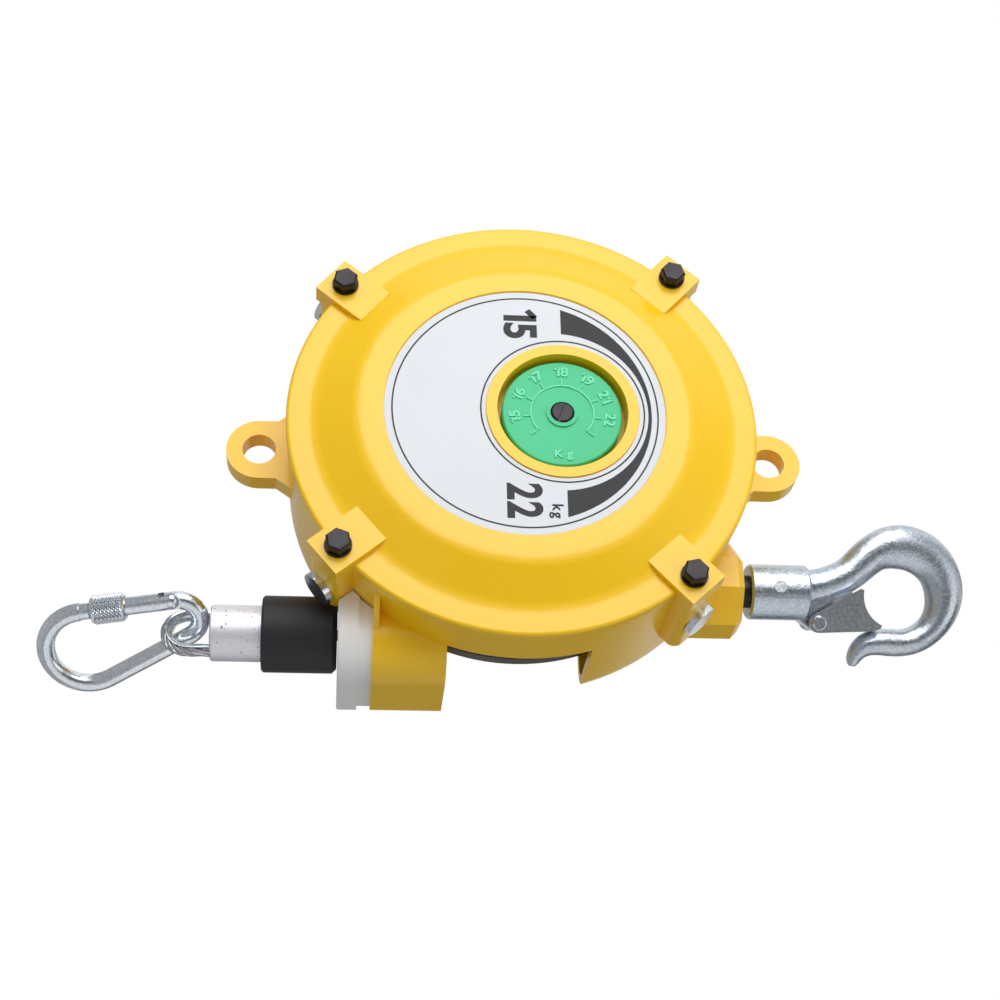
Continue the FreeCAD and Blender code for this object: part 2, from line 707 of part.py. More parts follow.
def boss_outline(sketch, step):
    """The guide boss's section: a rounded square whose outer front corner is rounder."""
    half = D.boss_half - step
    small = D.boss_round - step / 2
    large = D.boss_big_round - step
    left = -D.rope_line - half
    right = -D.rope_line + half
    low = -D.rope_depth - half
    high = -D.rope_depth + half
    outline(sketch, [
        (left + small, low),
        (right - small, low, small),
        (right, low + small),
        (right, high - small, small),
        (right - small, high),
        (left + large, high, large),
        (left, high - large),
        (left, low + small, small),
    ])


def rope_slot(sketch, grow):
    """The slot that the rope wanders along as it winds from groove to groove."""
    half = D.slot_half + grow
    left = -D.rope_line - half
    right = -D.rope_line + half
    low = -D.rope_depth - grow
    high = -D.rope_depth + D.slot_travel + grow
    outline(sketch, [
        (left, low, half),
        (-D.rope_line, low - half, half),
        (right, low),
        (right, high, half),
        (-D.rope_line, high + half, half),
        (left, high),
    ])


def guide_screw_place(side):
    return (-D.rope_line - D.guide_screw_offset * 0.75, -D.rope_depth + side * D.guide_screw_offset * 0.85)


def make_guide():
    inner = new_body("guide_plate")
    face = new_sketch(inner, "YZ", guide_back_face)
    boss_outline(face, D.guide_step)
    pad(inner, face, D.guide_back_thick)
    outer = new_body("rope_guide")
    face = new_sketch(outer, "YZ", guide_face)
    boss_outline(face, 0)
    pad(outer, face, D.guide_thick)
    outer_face = guide_face
    round_edges(outer, 1, lambda edge: on_plane_x(edge, float(outer_face)))
    for body, start, length, radius in (
            (inner, guide_back_face, D.guide_back_thick, D.guide_screw_radius),
            (outer, guide_face, D.guide_thick, D.guide_screw_radius)):
        slot = new_sketch(body, "YZ", start)
        rope_slot(slot, 0)
        for side in (-1, 1):
            across, up = guide_screw_place(side)
            circle(slot, across, up, radius)
        pocket(body, slot, length, reverse=True)
    heads = new_sketch(outer, "YZ", guide_face)
    for side in (-1, 1):
        across, up = guide_screw_place(side)
        circle(heads, across, up, D.guide_screw_head)
    pocket(outer, heads, D.guide_screw_radius * 2, reverse=True)
    for body in (inner, outer):
        wall = new_sketch(body, "XY", -D.case_depth - D.boss_half)
        circle(wall, 0, 0, D.case_radius + D.running_gap)
        pocket(body, wall, D.case_depth + D.boss_half, reverse=True)
    lug = new_sketch(outer, "XY", -D.low_lug_drop - D.running_gap)
    bar_across(lug, D.case_radius - 8, D.bolt_circle + D.lug_reach + D.running_gap,
               D.lug_width / 2 + D.running_gap, -D.bolt_angle_low)
    pocket(outer, lug, D.low_lug_drop, reverse=True)
    hang(inner, "guide_plate")
    hang(outer, "rope_guide")
    screws = new_body("guide_screws")
    shanks = new_sketch(screws, "YZ", -D.boss_end + 12)
    heads = new_sketch(screws, "YZ", guide_face + 1)
    for side in (-1, 1):
        across, up = guide_screw_place(side)
        circle(shanks, across, up, D.guide_screw_radius)
        circle(heads, across, up, D.guide_screw_head)
    screws.AllowCompound = True
    pad(screws, shanks, D.guide_thick + D.guide_back_thick + 8, reverse=True)
    pad(screws, heads, D.guide_screw_radius * 2 - 1)
    sockets = new_sketch(screws, "YZ", guide_face + 1)
    for side in (-1, 1):
        across, up = guide_screw_place(side)
        hexagon(sockets, across, up, D.guide_screw_radius * 1.6)
    pocket(screws, sockets, 2.5, reverse=True)
    hang(screws, "guide_screws")


def hexagon(sketch, x, y, flats, angle=0):
    corners = []
    for step in range(6):
        turn = 60 * step + as_size(angle)
        corner = flats / (2 * math.cos(math.radians(30)))
        corners.append((x + corner * cosine(turn), y + corner * sine(turn)))
    outline(sketch, corners)


def make_cover_bolts():
    bolts = new_body("cover_bolts")
    bolts.AllowCompound = True
    washers = new_body("bolt_washers")
    washers.AllowCompound = True
    head_base = D.lug_rise + D.washer_thick
    heads = new_sketch(bolts, "XY", head_base)
    shanks = new_sketch(bolts, "XY", head_base)
    rings = new_sketch(washers, "XY", D.lug_rise)
    for angle in bolt_angles:
        x, y = polar(D.bolt_circle, as_size(0), angle)
        hexagon(heads, x, y, D.bolt_flats, angle)
        circle(shanks, x, y, D.bolt_radius)
        circle(rings, x, y, D.washer_radius)
        circle(rings, x, y, D.bolt_radius)
    pad(bolts, heads, D.bolt_head)
    pad(bolts, shanks, D.bolt_length, reverse=True)
    top = head_base + D.bolt_head
    round_edges(bolts, 0.8, lambda edge: all(abs(v.Point.z - float(top)) < 1e-4 for v in edge.Vertexes),
                kind="Chamfer")
    pad(washers, rings, D.washer_thick)
    hang(bolts, "cover_bolts")
    hang(washers, "bolt_washers")
    pins = new_body("barrel_nuts")
    pins.AllowCompound = True
    reach = D.bolt_circle + D.lug_reach
    for angle in bolt_angles:
        for radius, start, length in ((D.pin_radius, reach - D.pin_length, D.pin_length),
                                      (D.pin_head_radius, reach, D.pin_head_thick)):
            piece = pins.newObject("PartDesign::AdditiveCylinder", "pin")
            piece.setExpression("Radius", radius.formula)
            piece.setExpression("Height", length.formula)
            place_radial(piece, start, angle)
            doc.recompute()
    tapped = new_sketch(pins, "XY", 0)
    for angle in bolt_angles:
        x, y = polar(D.bolt_circle, as_size(0), angle)
        circle(tapped, x, y, D.bolt_radius)
    pocket(pins, tapped, D.bolt_length)
    hang(pins, "barrel_nuts")


def make_label():
    body = new_body("scale_label")
    disc = new_sketch(body, "XY", D.plateau_height - D.label_depth)
    circle(disc, 0, 0, D.label_radius - 0.2)
    circle(disc, gear_centre, 0, D.collar_radius + 0.3)
    pad(body, disc, D.label_sheet)
    hang(body, "scale_label")


# ---------------------------------------------------------------- load dial and arbor drive
def cut_teeth(body, plane_height, face, teeth, module, clearance, start, internal=False):
    """Cut one tooth space into a blank and repeat it round the axis."""
    pitch = teeth * module / 2
    inward = -1 if internal else 1
    tip = pitch + inward * module * 0.9 + inward * 0.5
    base = pitch - inward * module * 1.2
    step = 360 / teeth
    slack = 57.3 * clearance / pitch
    half_tip = step * 0.39 + slack / 2
    half_base = step * 0.20 + slack
    space = new_sketch(body, "XY", plane_height)
    corners = [(base, -half_base), (tip, -half_tip), (tip, half_tip), (base, half_base)]
    outline(space, [polar(radius, as_size(0), start + turn) for radius, turn in corners])
    cut = pocket(body, space, face, reverse=True)
    pattern = body.newObject("PartDesign::PolarPattern", "teeth")
    pattern.Originals = [cut]
    pattern.Axis = (space, ["N_Axis"])
    pattern.Angle = 360
    pattern.setExpression("Occurrences", teeth.formula)
    body.Tip = pattern
    doc.recompute()


def make_dial():
    face = D.plateau_height - D.dial_sunk
    under = face - D.dial_plate
    skirt = floor_top + D.running_gap
    profile = [
        (D.dial_screw_radius + 0.2, under),
        (D.dial_radius, under),
        (D.dial_radius, face - 0.6),
        (D.dial_radius - 0.6, face),
        (D.dial_hub_radius, face),
        (D.dial_hub_radius, face + D.dial_hub_height),
        (D.dial_screw_radius + 0.2, face + D.dial_hub_height),
    ]
    body = new_body("load_dial")
    revolve(body, profile)
    hub = new_sketch(body, "XY", under)
    circle(hub, 0, 0, D.dial_screw_radius + 1)
    circle(hub, 0, 0, D.dial_shank_radius + 1.6)
    pad(body, hub, 1.4)
    ring = new_sketch(body, "XY", skirt)
    circle(ring, 0, 0, D.dial_radius)
    circle(ring, 0, 0, (D.ring_teeth / 2 - 0.9) * D.gear_module)
    pad(body, ring, under - skirt)
    cut_teeth(body, skirt, under - skirt, D.ring_teeth, D.gear_module, 0.12, 180, internal=True)
    hang(body, "load_dial", x=gear_centre)
    head_base = under + 1.4 + D.running_gap
    shoulder = under - D.running_gap
    screw = new_body("dial_screw")
    revolve(screw, [
        (0, floor_under + 0.5),
        (D.dial_shank_radius, floor_under + 0.5),
        (D.dial_shank_radius, shoulder),
        (D.dial_shank_radius + 1.5, shoulder),
        (D.dial_shank_radius + 1.5, head_base),
        (D.dial_screw_radius, head_base),
        (D.dial_screw_radius, face + D.dial_hub_height - 0.2),
        (D.dial_screw_radius - 0.8, face + D.dial_hub_height + 0.6),
        (0, face + D.dial_hub_height + 0.6),
    ])
    slot = new_sketch(screw, "XY", face + D.dial_hub_height + 0.6)
    reach = D.dial_screw_radius + 1
    slot_corners = [(-reach, as_size(-0.7)), (reach, as_size(-0.7)), (reach, as_size(0.7)), (-reach, as_size(0.7))]
    outline(slot, [polar(x, y, 70) for x, y in slot_corners])
    pocket(screw, slot, 1.2)
    hang(screw, "dial_screw", x=gear_centre)


def make_arbor_drive():
    wheel_low = -(D.worm_depth + D.wheel_face / 2)
    wheel_high = -(D.worm_depth - D.wheel_face / 2)
    neck_base = bush_under - D.running_gap
    spigot_base = floor_top + D.running_gap
    spigot_top = D.plateau_height - D.dial_sunk - D.dial_plate - D.running_gap
    rear_end = -(D.case_depth + D.back_boss_rise) + 3
    turned_piece("arbor", [
        (0, rear_end),
        (D.journal_radius, rear_end),
        (D.journal_radius, hub_face + D.running_gap),
        (D.arbor_radius, hub_face + D.running_gap),
        (D.arbor_radius, wheel_low),
        (D.journal_radius, wheel_low),
        (D.journal_radius, neck_base),
        (D.neck_journal, neck_base),
        (D.neck_journal, spigot_base),
        (D.spigot_radius, spigot_base),
        (D.spigot_radius, spigot_top),
        (0, spigot_top),
    ])
    wheel = new_body("worm_wheel")
    outside = new_sketch(wheel, "XY", wheel_low)
    circle(outside, 0, 0, (D.wheel_teeth / 2 + 0.9) * D.worm_module)
    circle(outside, 0, 0, D.journal_radius)
    pad(wheel, outside, wheel_high - wheel_low)
    cut_teeth(wheel, wheel_low, wheel_high - wheel_low, D.wheel_teeth, D.worm_module, 0.25, 180)
    hang(wheel, "worm_wheel")
    pinion = new_body("dial_pinion")
    outside = new_sketch(pinion, "XY", spigot_base)
    circle(outside, 0, 0, (D.pinion_teeth / 2 + 0.9) * D.gear_module)
    circle(outside, 0, 0, D.spigot_radius)
    pad(pinion, outside, spigot_top - spigot_base)
    half_tooth = 180 / D.pinion_teeth
    cut_teeth(pinion, spigot_base, spigot_top - spigot_base, D.pinion_teeth, D.gear_module, 0.12,
              180 + half_tooth)
    hang(pinion, "dial_pinion")
    turned_piece("cover_bush", tube(D.neck_journal + D.running_clearance, D.neck_journal + 2.5,
                                    bush_under, floor_top))
    turned_piece("rear_bush", tube(D.journal_radius + D.running_clearance, D.journal_radius + 3,
                                   rear_end, hub_face))
    turned_piece("rear_cap", [
        (0, rear_end - 3),
        (D.journal_radius + 3, rear_end - 3),
        (D.journal_radius + 3, rear_end),
        (D.journal_radius + 1, rear_end),
        (D.journal_radius + 1, rear_end - 1.5),
        (0, rear_end - 1.5),
    ])


def make_worm():
    """The worm: a threaded core whose turns are thrust rings cut at the wheel's pitch."""
    lead = D.worm_module * math.pi
    half = D.worm_length / 2
    tip = D.worm_pitch_radius + D.worm_module * 0.85
    base = D.worm_pitch_radius - D.worm_module * 1.2
    post_end = half + 2 + D.worm_post_thick
    inner_end = -(post_end + 1)
    profile = [
        (0, inner_end),
        (D.worm_shaft_radius, inner_end),
        (D.worm_shaft_radius, -half - 2 + D.running_gap),
        (base, -half - 2 + D.running_gap),
        (base, half + 2 - D.running_gap),
        (D.worm_shaft_radius, half + 2 - D.running_gap),
        (D.worm_shaft_radius, D.worm_reach),
        (0, D.worm_reach),
    ]
    body = new_body("worm")
    revolve(body, profile)
    tooth = new_sketch(body, "XZ")
    start = lead * -2
    outline(tooth, [
        (base - 0.4, start - lead * 0.26),
        (tip, start - lead * 0.10),
        (tip, start + lead * 0.10),
        (base - 0.4, start + lead * 0.26),
    ])
    thread = body.newObject("PartDesign::AdditiveHelix", "thread")
    thread.Profile = tooth
    thread.ReferenceAxis = (tooth, ["V_Axis"])
    thread.Mode = "pitch-height-angle"
    thread.setExpression("Pitch", lead.formula)
    thread.setExpression("Height", (lead * 4).formula)
    doc.recompute()
    drive = new_sketch(body, "XY", D.worm_reach)
    hexagon(drive, as_size(0), as_size(0), D.worm_shaft_radius * 1.1)
    pocket(body, drive, 5)
    hang(body, "worm", x=worm_x, y=0, z=-D.worm_depth, turned=ALONG_Y)


# ---------------------------------------------------------------- drum, spring and rope
def groove_radius(index):
    return D.rope_line + D.rope_growth * index


def groove_height(index):
    return -D.rope_depth + D.rope_pitch * index


def rope_section(radius):
    """The rope's section as an octagon round it, from its lower side up, inner side first."""
    near = radius * math.tan(math.radians(22.5))
    return [(0 * radius, -radius), (-near, -radius), (-radius, -near), (-radius, near), (-near, radius),
            (0 * radius, radius), (near, radius), (radius, near), (radius, -near), (near, -radius)]


def make_drum():
    turns = int(round(float(D.rope_turns)))
    back = -D.drum_back
    front = -D.drum_front
    face = back + D.drum_flange
    rim = front - D.drum_rim
    inside = D.rope_line - D.drum_wall
    lid_seat = front - D.drum_rim - D.lid_thick
    body = new_body("drum")
    grooves = []
    for index in range(turns):
        middle, height = groove_radius(index), groove_height(index)
        for radius, rise in rope_section(D.rope_radius + D.groove_slack):
            if float(radius) < 1e-6:
                grooves.append((middle + radius, height + rise))
    revolve(body, [
        (D.arbor_radius + D.bush_wall, back),
        (D.drum_flange_radius, back),
        (D.drum_flange_radius, face),
        (groove_radius(0), face),
        *grooves,
        (groove_radius(turns - 1), rim),
        (D.drum_flange_radius, rim),
        (D.drum_flange_radius, front),
        (inside + 5, front),
        (inside + 5, lid_seat),
        (inside, lid_seat),
        (inside, face),
        (D.drum_hub_radius, face),
        (D.drum_hub_radius, face + D.rear_bush_step),
        (D.arbor_radius + D.bush_wall, face + D.rear_bush_step),
    ])
    hang(body, "drum")
    coil = new_body("rope_coil")
    coil.AllowCompound = True
    for first, last, sweep in ((0, 1, 268), (1, turns, 360)):
        section = new_sketch(coil, "XZ")
        for index in range(first, last):
            middle, height = groove_radius(index), groove_height(index)
            outline(section, [(middle + radius, height + rise) for radius, rise in rope_section(D.rope_radius)])
        section.AttachmentOffset = FreeCAD.Placement(section.AttachmentOffset.Base,
                                                     FreeCAD.Rotation(FreeCAD.Vector(0, 1, 0), -89))
        wound = coil.newObject("PartDesign::Revolution", "wound")
        wound.Profile = section
        wound.ReferenceAxis = (section, ["V_Axis"])
        wound.Angle = sweep
        doc.recompute()
    hang(coil, "rope_coil")
    turned_piece("spring_lid", tube(D.arbor_radius + D.bush_wall, inside + 4.9, lid_seat, lid_seat + D.lid_thick))
    fit = D.arbor_radius + D.running_clearance
    outer = D.arbor_radius + D.bush_wall
    turned_piece("drum_rear_bush", tube(fit, outer, back, face + D.rear_bush_step))
    turned_piece("drum_front_bush", tube(fit, outer, lid_seat - D.front_bush_step, lid_seat + D.lid_thick))
    spring = new_body("power_spring")
    start = D.arbor_radius + D.running_gap
    strip = new_sketch(spring, "XZ")
    low = face + D.rear_bush_step + D.running_gap
    high = lid_seat - D.front_bush_step - D.running_gap
    outline(strip, [
        (start, low),
        (start + D.spring_strip, low),
        (start + D.spring_strip, high),
        (start, high),
    ])
    wound = spring.newObject("PartDesign::AdditiveHelix", "wound")
    wound.Profile = strip
    wound.ReferenceAxis = (strip, ["V_Axis"])
    wound.Mode = "height-turns-growth"
    wound.Height = 0
    wound.setExpression("Turns", D.spring_coils.formula)
    wound.setExpression("Growth", ((inside - start - D.spring_strip) / D.spring_coils).formula)
    doc.recompute()
    hang(spring, "power_spring")


# ---------------------------------------------------------------- suspension hook
def on_shaft(along=0, across=0, turn=0, rotation=UPRIGHT):
    """Placement arguments for a piece set in the hook's own flat, which is swivelled."""
    angle = D.hook_turn + turn
    swivel = FreeCAD.Rotation(FreeCAD.Vector(1, 0, 0), float(angle))
    return {"x": as_size(along), "y": across * cosine(angle) - D.hook_line,
            "z": across * sine(angle) - D.rope_depth, "turned": swivel.multiply(rotation)}


def make_hook_shaft():
    along = on_shaft(rotation=ALONG_X)
    nut_low = nut_top - D.thrust_thick - D.nut_thick
    shaft = new_body("hook_shaft")
    revolve(shaft, rod(D.shaft_radius, nut_low - 1, D.socket_bore_end))
    sketch = new_sketch(shaft, "YZ", 0)
    circle(sketch, 0, D.roll_pin_place, D.roll_pin_radius)
    pocket(shaft, sketch, D.shaft_radius * 4, middle=True)
    hang(shaft, "hook_shaft", **on_shaft(turn=-D.roll_pin_turn, rotation=ALONG_X))
    turned_piece("thrust_washer", tube(D.shaft_radius, D.nut_radius, nut_top - D.thrust_thick, nut_top), **along)
    nut = new_body("hook_nut")
    ring = new_sketch(nut, "XY", nut_low)
    hexagon(ring, as_size(0), as_size(0), D.nut_radius * 1.73)
    circle(ring, 0, 0, D.shaft_radius)
    pad(nut, ring, D.nut_thick)
    hang(nut, "hook_nut", **along)
    pin = new_body("hook_roll_pin")
    revolve(pin, rod(D.roll_pin_radius, -D.socket_radius + 0.3, D.socket_radius - 0.3))
    hang(pin, "hook_roll_pin", **on_shaft(along=D.roll_pin_place, turn=-D.roll_pin_turn))


def spoke(length, angle):
    return FreeCAD.Vector(length * math.cos(math.radians(angle)), length * math.sin(math.radians(angle)), 0)


def hook_stations():
    """Stations along the hook's centre line in its own flat: point, direction, half height."""
    centre = FreeCAD.Vector(float(D.bowl_centre), 0, 0)
    path = float(D.bowl_path)
    start, rise = float(D.socket_end) - 2, float(D.neck_offset)
    reach = centre.x - start
    bend = (reach ** 2 + rise ** 2 - path ** 2) / (2 * (path - rise))
    bend_centre = FreeCAD.Vector(start, rise + bend, 0)
    swing = math.degrees(math.atan2(reach, bend + rise))
    neck, back = float(D.neck_radius), float(D.back_half)
    crown_half, point = float(D.crown_half), float(D.point_half)
    stations = []
    for step in range(4):
        turn = swing * step / 4
        stations.append((bend_centre + spoke(bend, turn - 90), spoke(1, turn), neck))
    for turn, half in ((swing + 90, neck * 1.06), (115, (neck + back) / 2), (90, back), (60, back),
                       (30, (back + crown_half) / 2), (0, crown_half), (-25, (crown_half + point) / 2),
                       (-50, point * 1.05), (-75, point), (-95, point)):
        stations.append((centre + spoke(path, turn), spoke(1, turn - 90), half))
    place, direction, half = stations[-1]
    for step, turn, share in ((7.0, 8, 0.95), (6.0, 26, 0.84), (5.0, 28, 0.66), (4.0, 16, 0.48), (2.6, 6, 0.2)):
        direction = FreeCAD.Rotation(FreeCAD.Vector(0, 0, 1), turn / 2).multVec(direction)
        place = place + direction * step
        direction = FreeCAD.Rotation(FreeCAD.Vector(0, 0, 1), turn / 2).multVec(direction)
        stations.append((place, direction, point * share))
    return stations


def section_ring(place, direction, half_height, half_width):
    """An oval wire square to a direction in the hook's flat."""
    across = FreeCAD.Vector(-direction.y, direction.x, 0)
    matrix = FreeCAD.Matrix(
        across.x * half_height, 0, direction.x, place.x,
        across.y * half_height, 0, direction.y, place.y,
        0, half_width, 0, 0,
        0, 0, 0, 1)
    return Part.Wire(Part.Circle().toShape().transformGeometry(matrix).Edges)


def make_hook():
    """Forged hook: a loft through oval sections set square to its centre line."""
    flat_half = float(D.hook_half_width)
    sections = []
    for place, direction, half in hook_stations():
        sections.append(section_ring(place, direction, half, min(flat_half, half * 1.1)))
    bowl = Part.makeLoft(sections, True)
    along = FreeCAD.Vector(1, 0, 0)
    up = FreeCAD.Vector(0, 0, 1)
    low, high = float(D.socket_start), float(D.socket_end)
    base = FreeCAD.Vector(low, 0, 0)
    socket = Part.makeCylinder(float(D.socket_radius), high - low, base, along)
    socket = socket.makeChamfer(1.0, [edge for edge in socket.Edges if edge.Closed])
    pivot = FreeCAD.Vector(float(D.latch_pivot_x), -float(D.latch_pivot_drop), 0)
    ear_half = float(D.latch_half) - 2.4
    lift = FreeCAD.Vector(0, 0, ear_half)
    lobe = Part.makeCylinder(4.2, 2 * ear_half, pivot - lift, up)
    strap_corners = [pivot + FreeCAD.Vector(4.2, 0, 0), FreeCAD.Vector(pivot.x + 8, 0, 0),
                     FreeCAD.Vector(high - 8, 0, 0), FreeCAD.Vector(high - 6, pivot.y + 2.5, 0),
                     pivot + FreeCAD.Vector(-2.0, -3.7, 0)]
    strap_corners.append(strap_corners[0])
    strap = Part.Face(Part.makePolygon([corner - lift for corner in strap_corners])).extrude(lift * 2)
    solid = bowl.multiFuse([socket, lobe, strap])
    bore = Part.makeCylinder(float(D.shaft_radius), float(D.socket_bore_end) - low, base, along)
    lean = FreeCAD.Rotation(along, -float(D.roll_pin_turn)).multVec(up)
    long = float(D.socket_radius) * 4
    pin = Part.makeCylinder(float(D.roll_pin_radius), long,
                            FreeCAD.Vector(float(D.roll_pin_place), 0, 0) - lean * (long / 2), lean)
    rivet = Part.makeCylinder(float(D.rivet_radius), long, pivot - up * (long / 2), up)
    item = doc.addObject("Part::Feature", "suspension_hook")
    item.Shape = solid.cut(bore).cut(pin).cut(rivet).removeSplitter()
    hang(item, "suspension_hook", **on_shaft())


def make_latch():
    """Stamped latch: two cheeks that straddle the neck, joined by a strip along the outside."""
    place = on_shaft(along=D.latch_pivot_x, across=-D.latch_pivot_drop)
    body = new_body("hook_latch")
    outer_half = D.latch_half + D.latch_sheet
    cheek = new_sketch(body, "XY", -outer_half)
    tip = D.latch_length
    outline(cheek, [
        (0, -4.5),
        (tip - 4, -3.3),
        (tip - 0.5, -1.9),
        (tip, -0.5, -(D.bowl_path - D.crown_half + 1.5)),
        (tip - 8.6, 15.4),
        (tip - 10, 16.0),
        (-3.2, 3.2, 4.5),
        (-4.5, 0, 4.5),
    ])
    pad(body, cheek, outer_half * 2)
    hollow = new_sketch(body, "XY", -D.latch_half)
    outline(hollow, [
        (-10, -8),
        (5, -8),
        (5, -4.3 + D.latch_sheet),
        (tip + 10, -2.7 + D.latch_sheet),
        (tip + 10, 25),
        (-10, 25),
    ])
    pocket(body, hollow, D.latch_half * 2, reverse=True)
    hole = new_sketch(body, "XY", -outer_half)
    circle(hole, 0, 0, D.rivet_radius + D.running_clearance)
    pocket(body, hole, outer_half * 2, reverse=True)
    hang(body, "hook_latch", **place)
    head = outer_half + D.running_gap
    turned_piece("latch_rivet", [
        (0, -head - 1.5),
        (D.rivet_radius + 0.6, -head - 1.5),
        (D.rivet_radius + 1.4, -head),
        (D.rivet_radius, -head),
        (D.rivet_radius, head),
        (D.rivet_radius + 1.4, head),
        (D.rivet_radius + 0.6, head + 1.5),
        (0, head + 1.5),
    ], **place)
    ear_half = D.latch_half - 2.4
    turned_piece("latch_spring", tube(D.rivet_radius + 0.05, D.rivet_radius + 1.3, ear_half + 0.05, D.latch_half - 0.4),
                 **place)


# ---------------------------------------------------------------- rope end
def make_rope_end():
    along = {"x": 0, "y": -D.rope_line, "z": -D.rope_depth, "turned": ALONG_X}
    lip = buffer_low + 8
    turned_piece("buffer", [
        (D.rope_radius + 0.1, lip),
        (D.ferrule_radius, lip),
        (D.ferrule_radius, buffer_low),
        (D.buffer_radius - 1, buffer_low),
        (D.buffer_radius, buffer_low + 1),
        (D.buffer_radius, buffer_top - 2),
        (D.buffer_radius - 2, buffer_top),
        (D.rope_radius + 0.1, buffer_top),
    ], **along)
    turned_piece("ferrule", [
        (D.rope_radius, ferrule_low + 4),
        (D.rope_radius, lip),
        (D.ferrule_radius, lip),
        (D.ferrule_radius, ferrule_low + 0.8),
        (D.ferrule_radius - 0.8, ferrule_low),
        (0, ferrule_low),
        (0, ferrule_low + 4),
    ], **along)
    turned_piece("rope_lead", rod(D.rope_radius, ferrule_low + 4, 0), **along)
    eye = {"x": eye_centre, "y": -D.rope_line, "z": -D.rope_depth,
           "turned": FreeCAD.Rotation(FreeCAD.Vector(1, 0, 0), float(D.eye_turn))}
    strand = new_body("rope_eye")
    swept_eye(strand, lambda sketch: circle(sketch, D.eye_radius, 0, D.rope_radius))
    hang(strand, "rope_eye", **eye)
    thimble = new_body("thimble")
    swept_eye(thimble, thimble_section)
    hang(thimble, "thimble", **eye)


def thimble_section(sketch):
    """Half a channel, open outwards, that the rope lies in."""
    inner = D.rope_radius
    outer = D.thimble_radius
    centre = D.eye_radius
    outline(sketch, [
        (centre, outer, outer),
        (centre - outer, 0, outer),
        (centre, -outer),
        (centre, -inner, -inner),
        (centre - inner, 0, -inner),
        (centre, inner),
    ])


def swept_eye(body, section):
    """Carry a section, drawn across the leg on the +y side, round the U of the eye."""
    path = new_sketch(body, "XY")
    radius = D.eye_radius
    outline(path, [
        (D.eye_leg, radius),
        (0, radius, radius),
        (-radius, 0, radius),
        (0, -radius),
        (D.eye_leg, -radius),
    ], closed=False)
    profile = new_sketch(body, "YZ", D.eye_leg)
    section(profile)
    pipe = body.newObject("PartDesign::AdditivePipe", "pipe")
    pipe.Profile = profile
    pipe.Spine = (path, [f"Edge{n}" for n in range(1, 5)])
    doc.recompute()


# ---------------------------------------------------------------- carabiner
slope = (D.wide_radius - D.narrow_radius) / D.bend_distance
level = root(1 - slope * slope)


def gate_point(along, off):
    """A point in the carabiner's plane, from where the gate's line leaves the narrow bend."""
    x = D.narrow_radius - D.narrow_radius * slope + along * level - off * slope
    y = D.narrow_radius * level + along * slope + off * level
    return (x, y)


def carabiner_place():
    """Where the carabiner's plane sits: u along it, v to its gate side, in the rope's eye."""
    lean = math.radians(float(D.carabiner_lean))
    turn = math.radians(float(D.carabiner_turn))
    side = FreeCAD.Vector(0, math.cos(turn), math.sin(turn))
    along = FreeCAD.Vector(-math.cos(lean), 0, 0) - side * math.sin(lean)
    across = FreeCAD.Vector(-math.sin(lean), 0, 0) + side * math.cos(lean)
    normal = along.cross(across)
    turned = FreeCAD.Rotation(along, across, normal, "ZXY")
    roll = float(D.carabiner_roll)
    bend = D.narrow_radius
    u_seat = bend - bend * cosine(roll)
    v_seat = -bend * sine(roll)
    seat = (ferrule_low - D.carabiner_seat, D.carabiner_aside - D.rope_line, -D.rope_depth)
    base = []
    for axis in range(3):
        base.append(seat[axis] - u_seat * along[axis] - v_seat * across[axis])
    return {"x": base[0], "y": base[1], "z": base[2], "turned": turned}


def turn_round(body, sketch, axis):
    """Turn a sketch once round an edge of a sketch."""
    turned = body.newObject("PartDesign::Revolution", "turned")
    turned.Profile = sketch
    turned.ReferenceAxis = axis
    turned.Angle = 360
    doc.recompute()


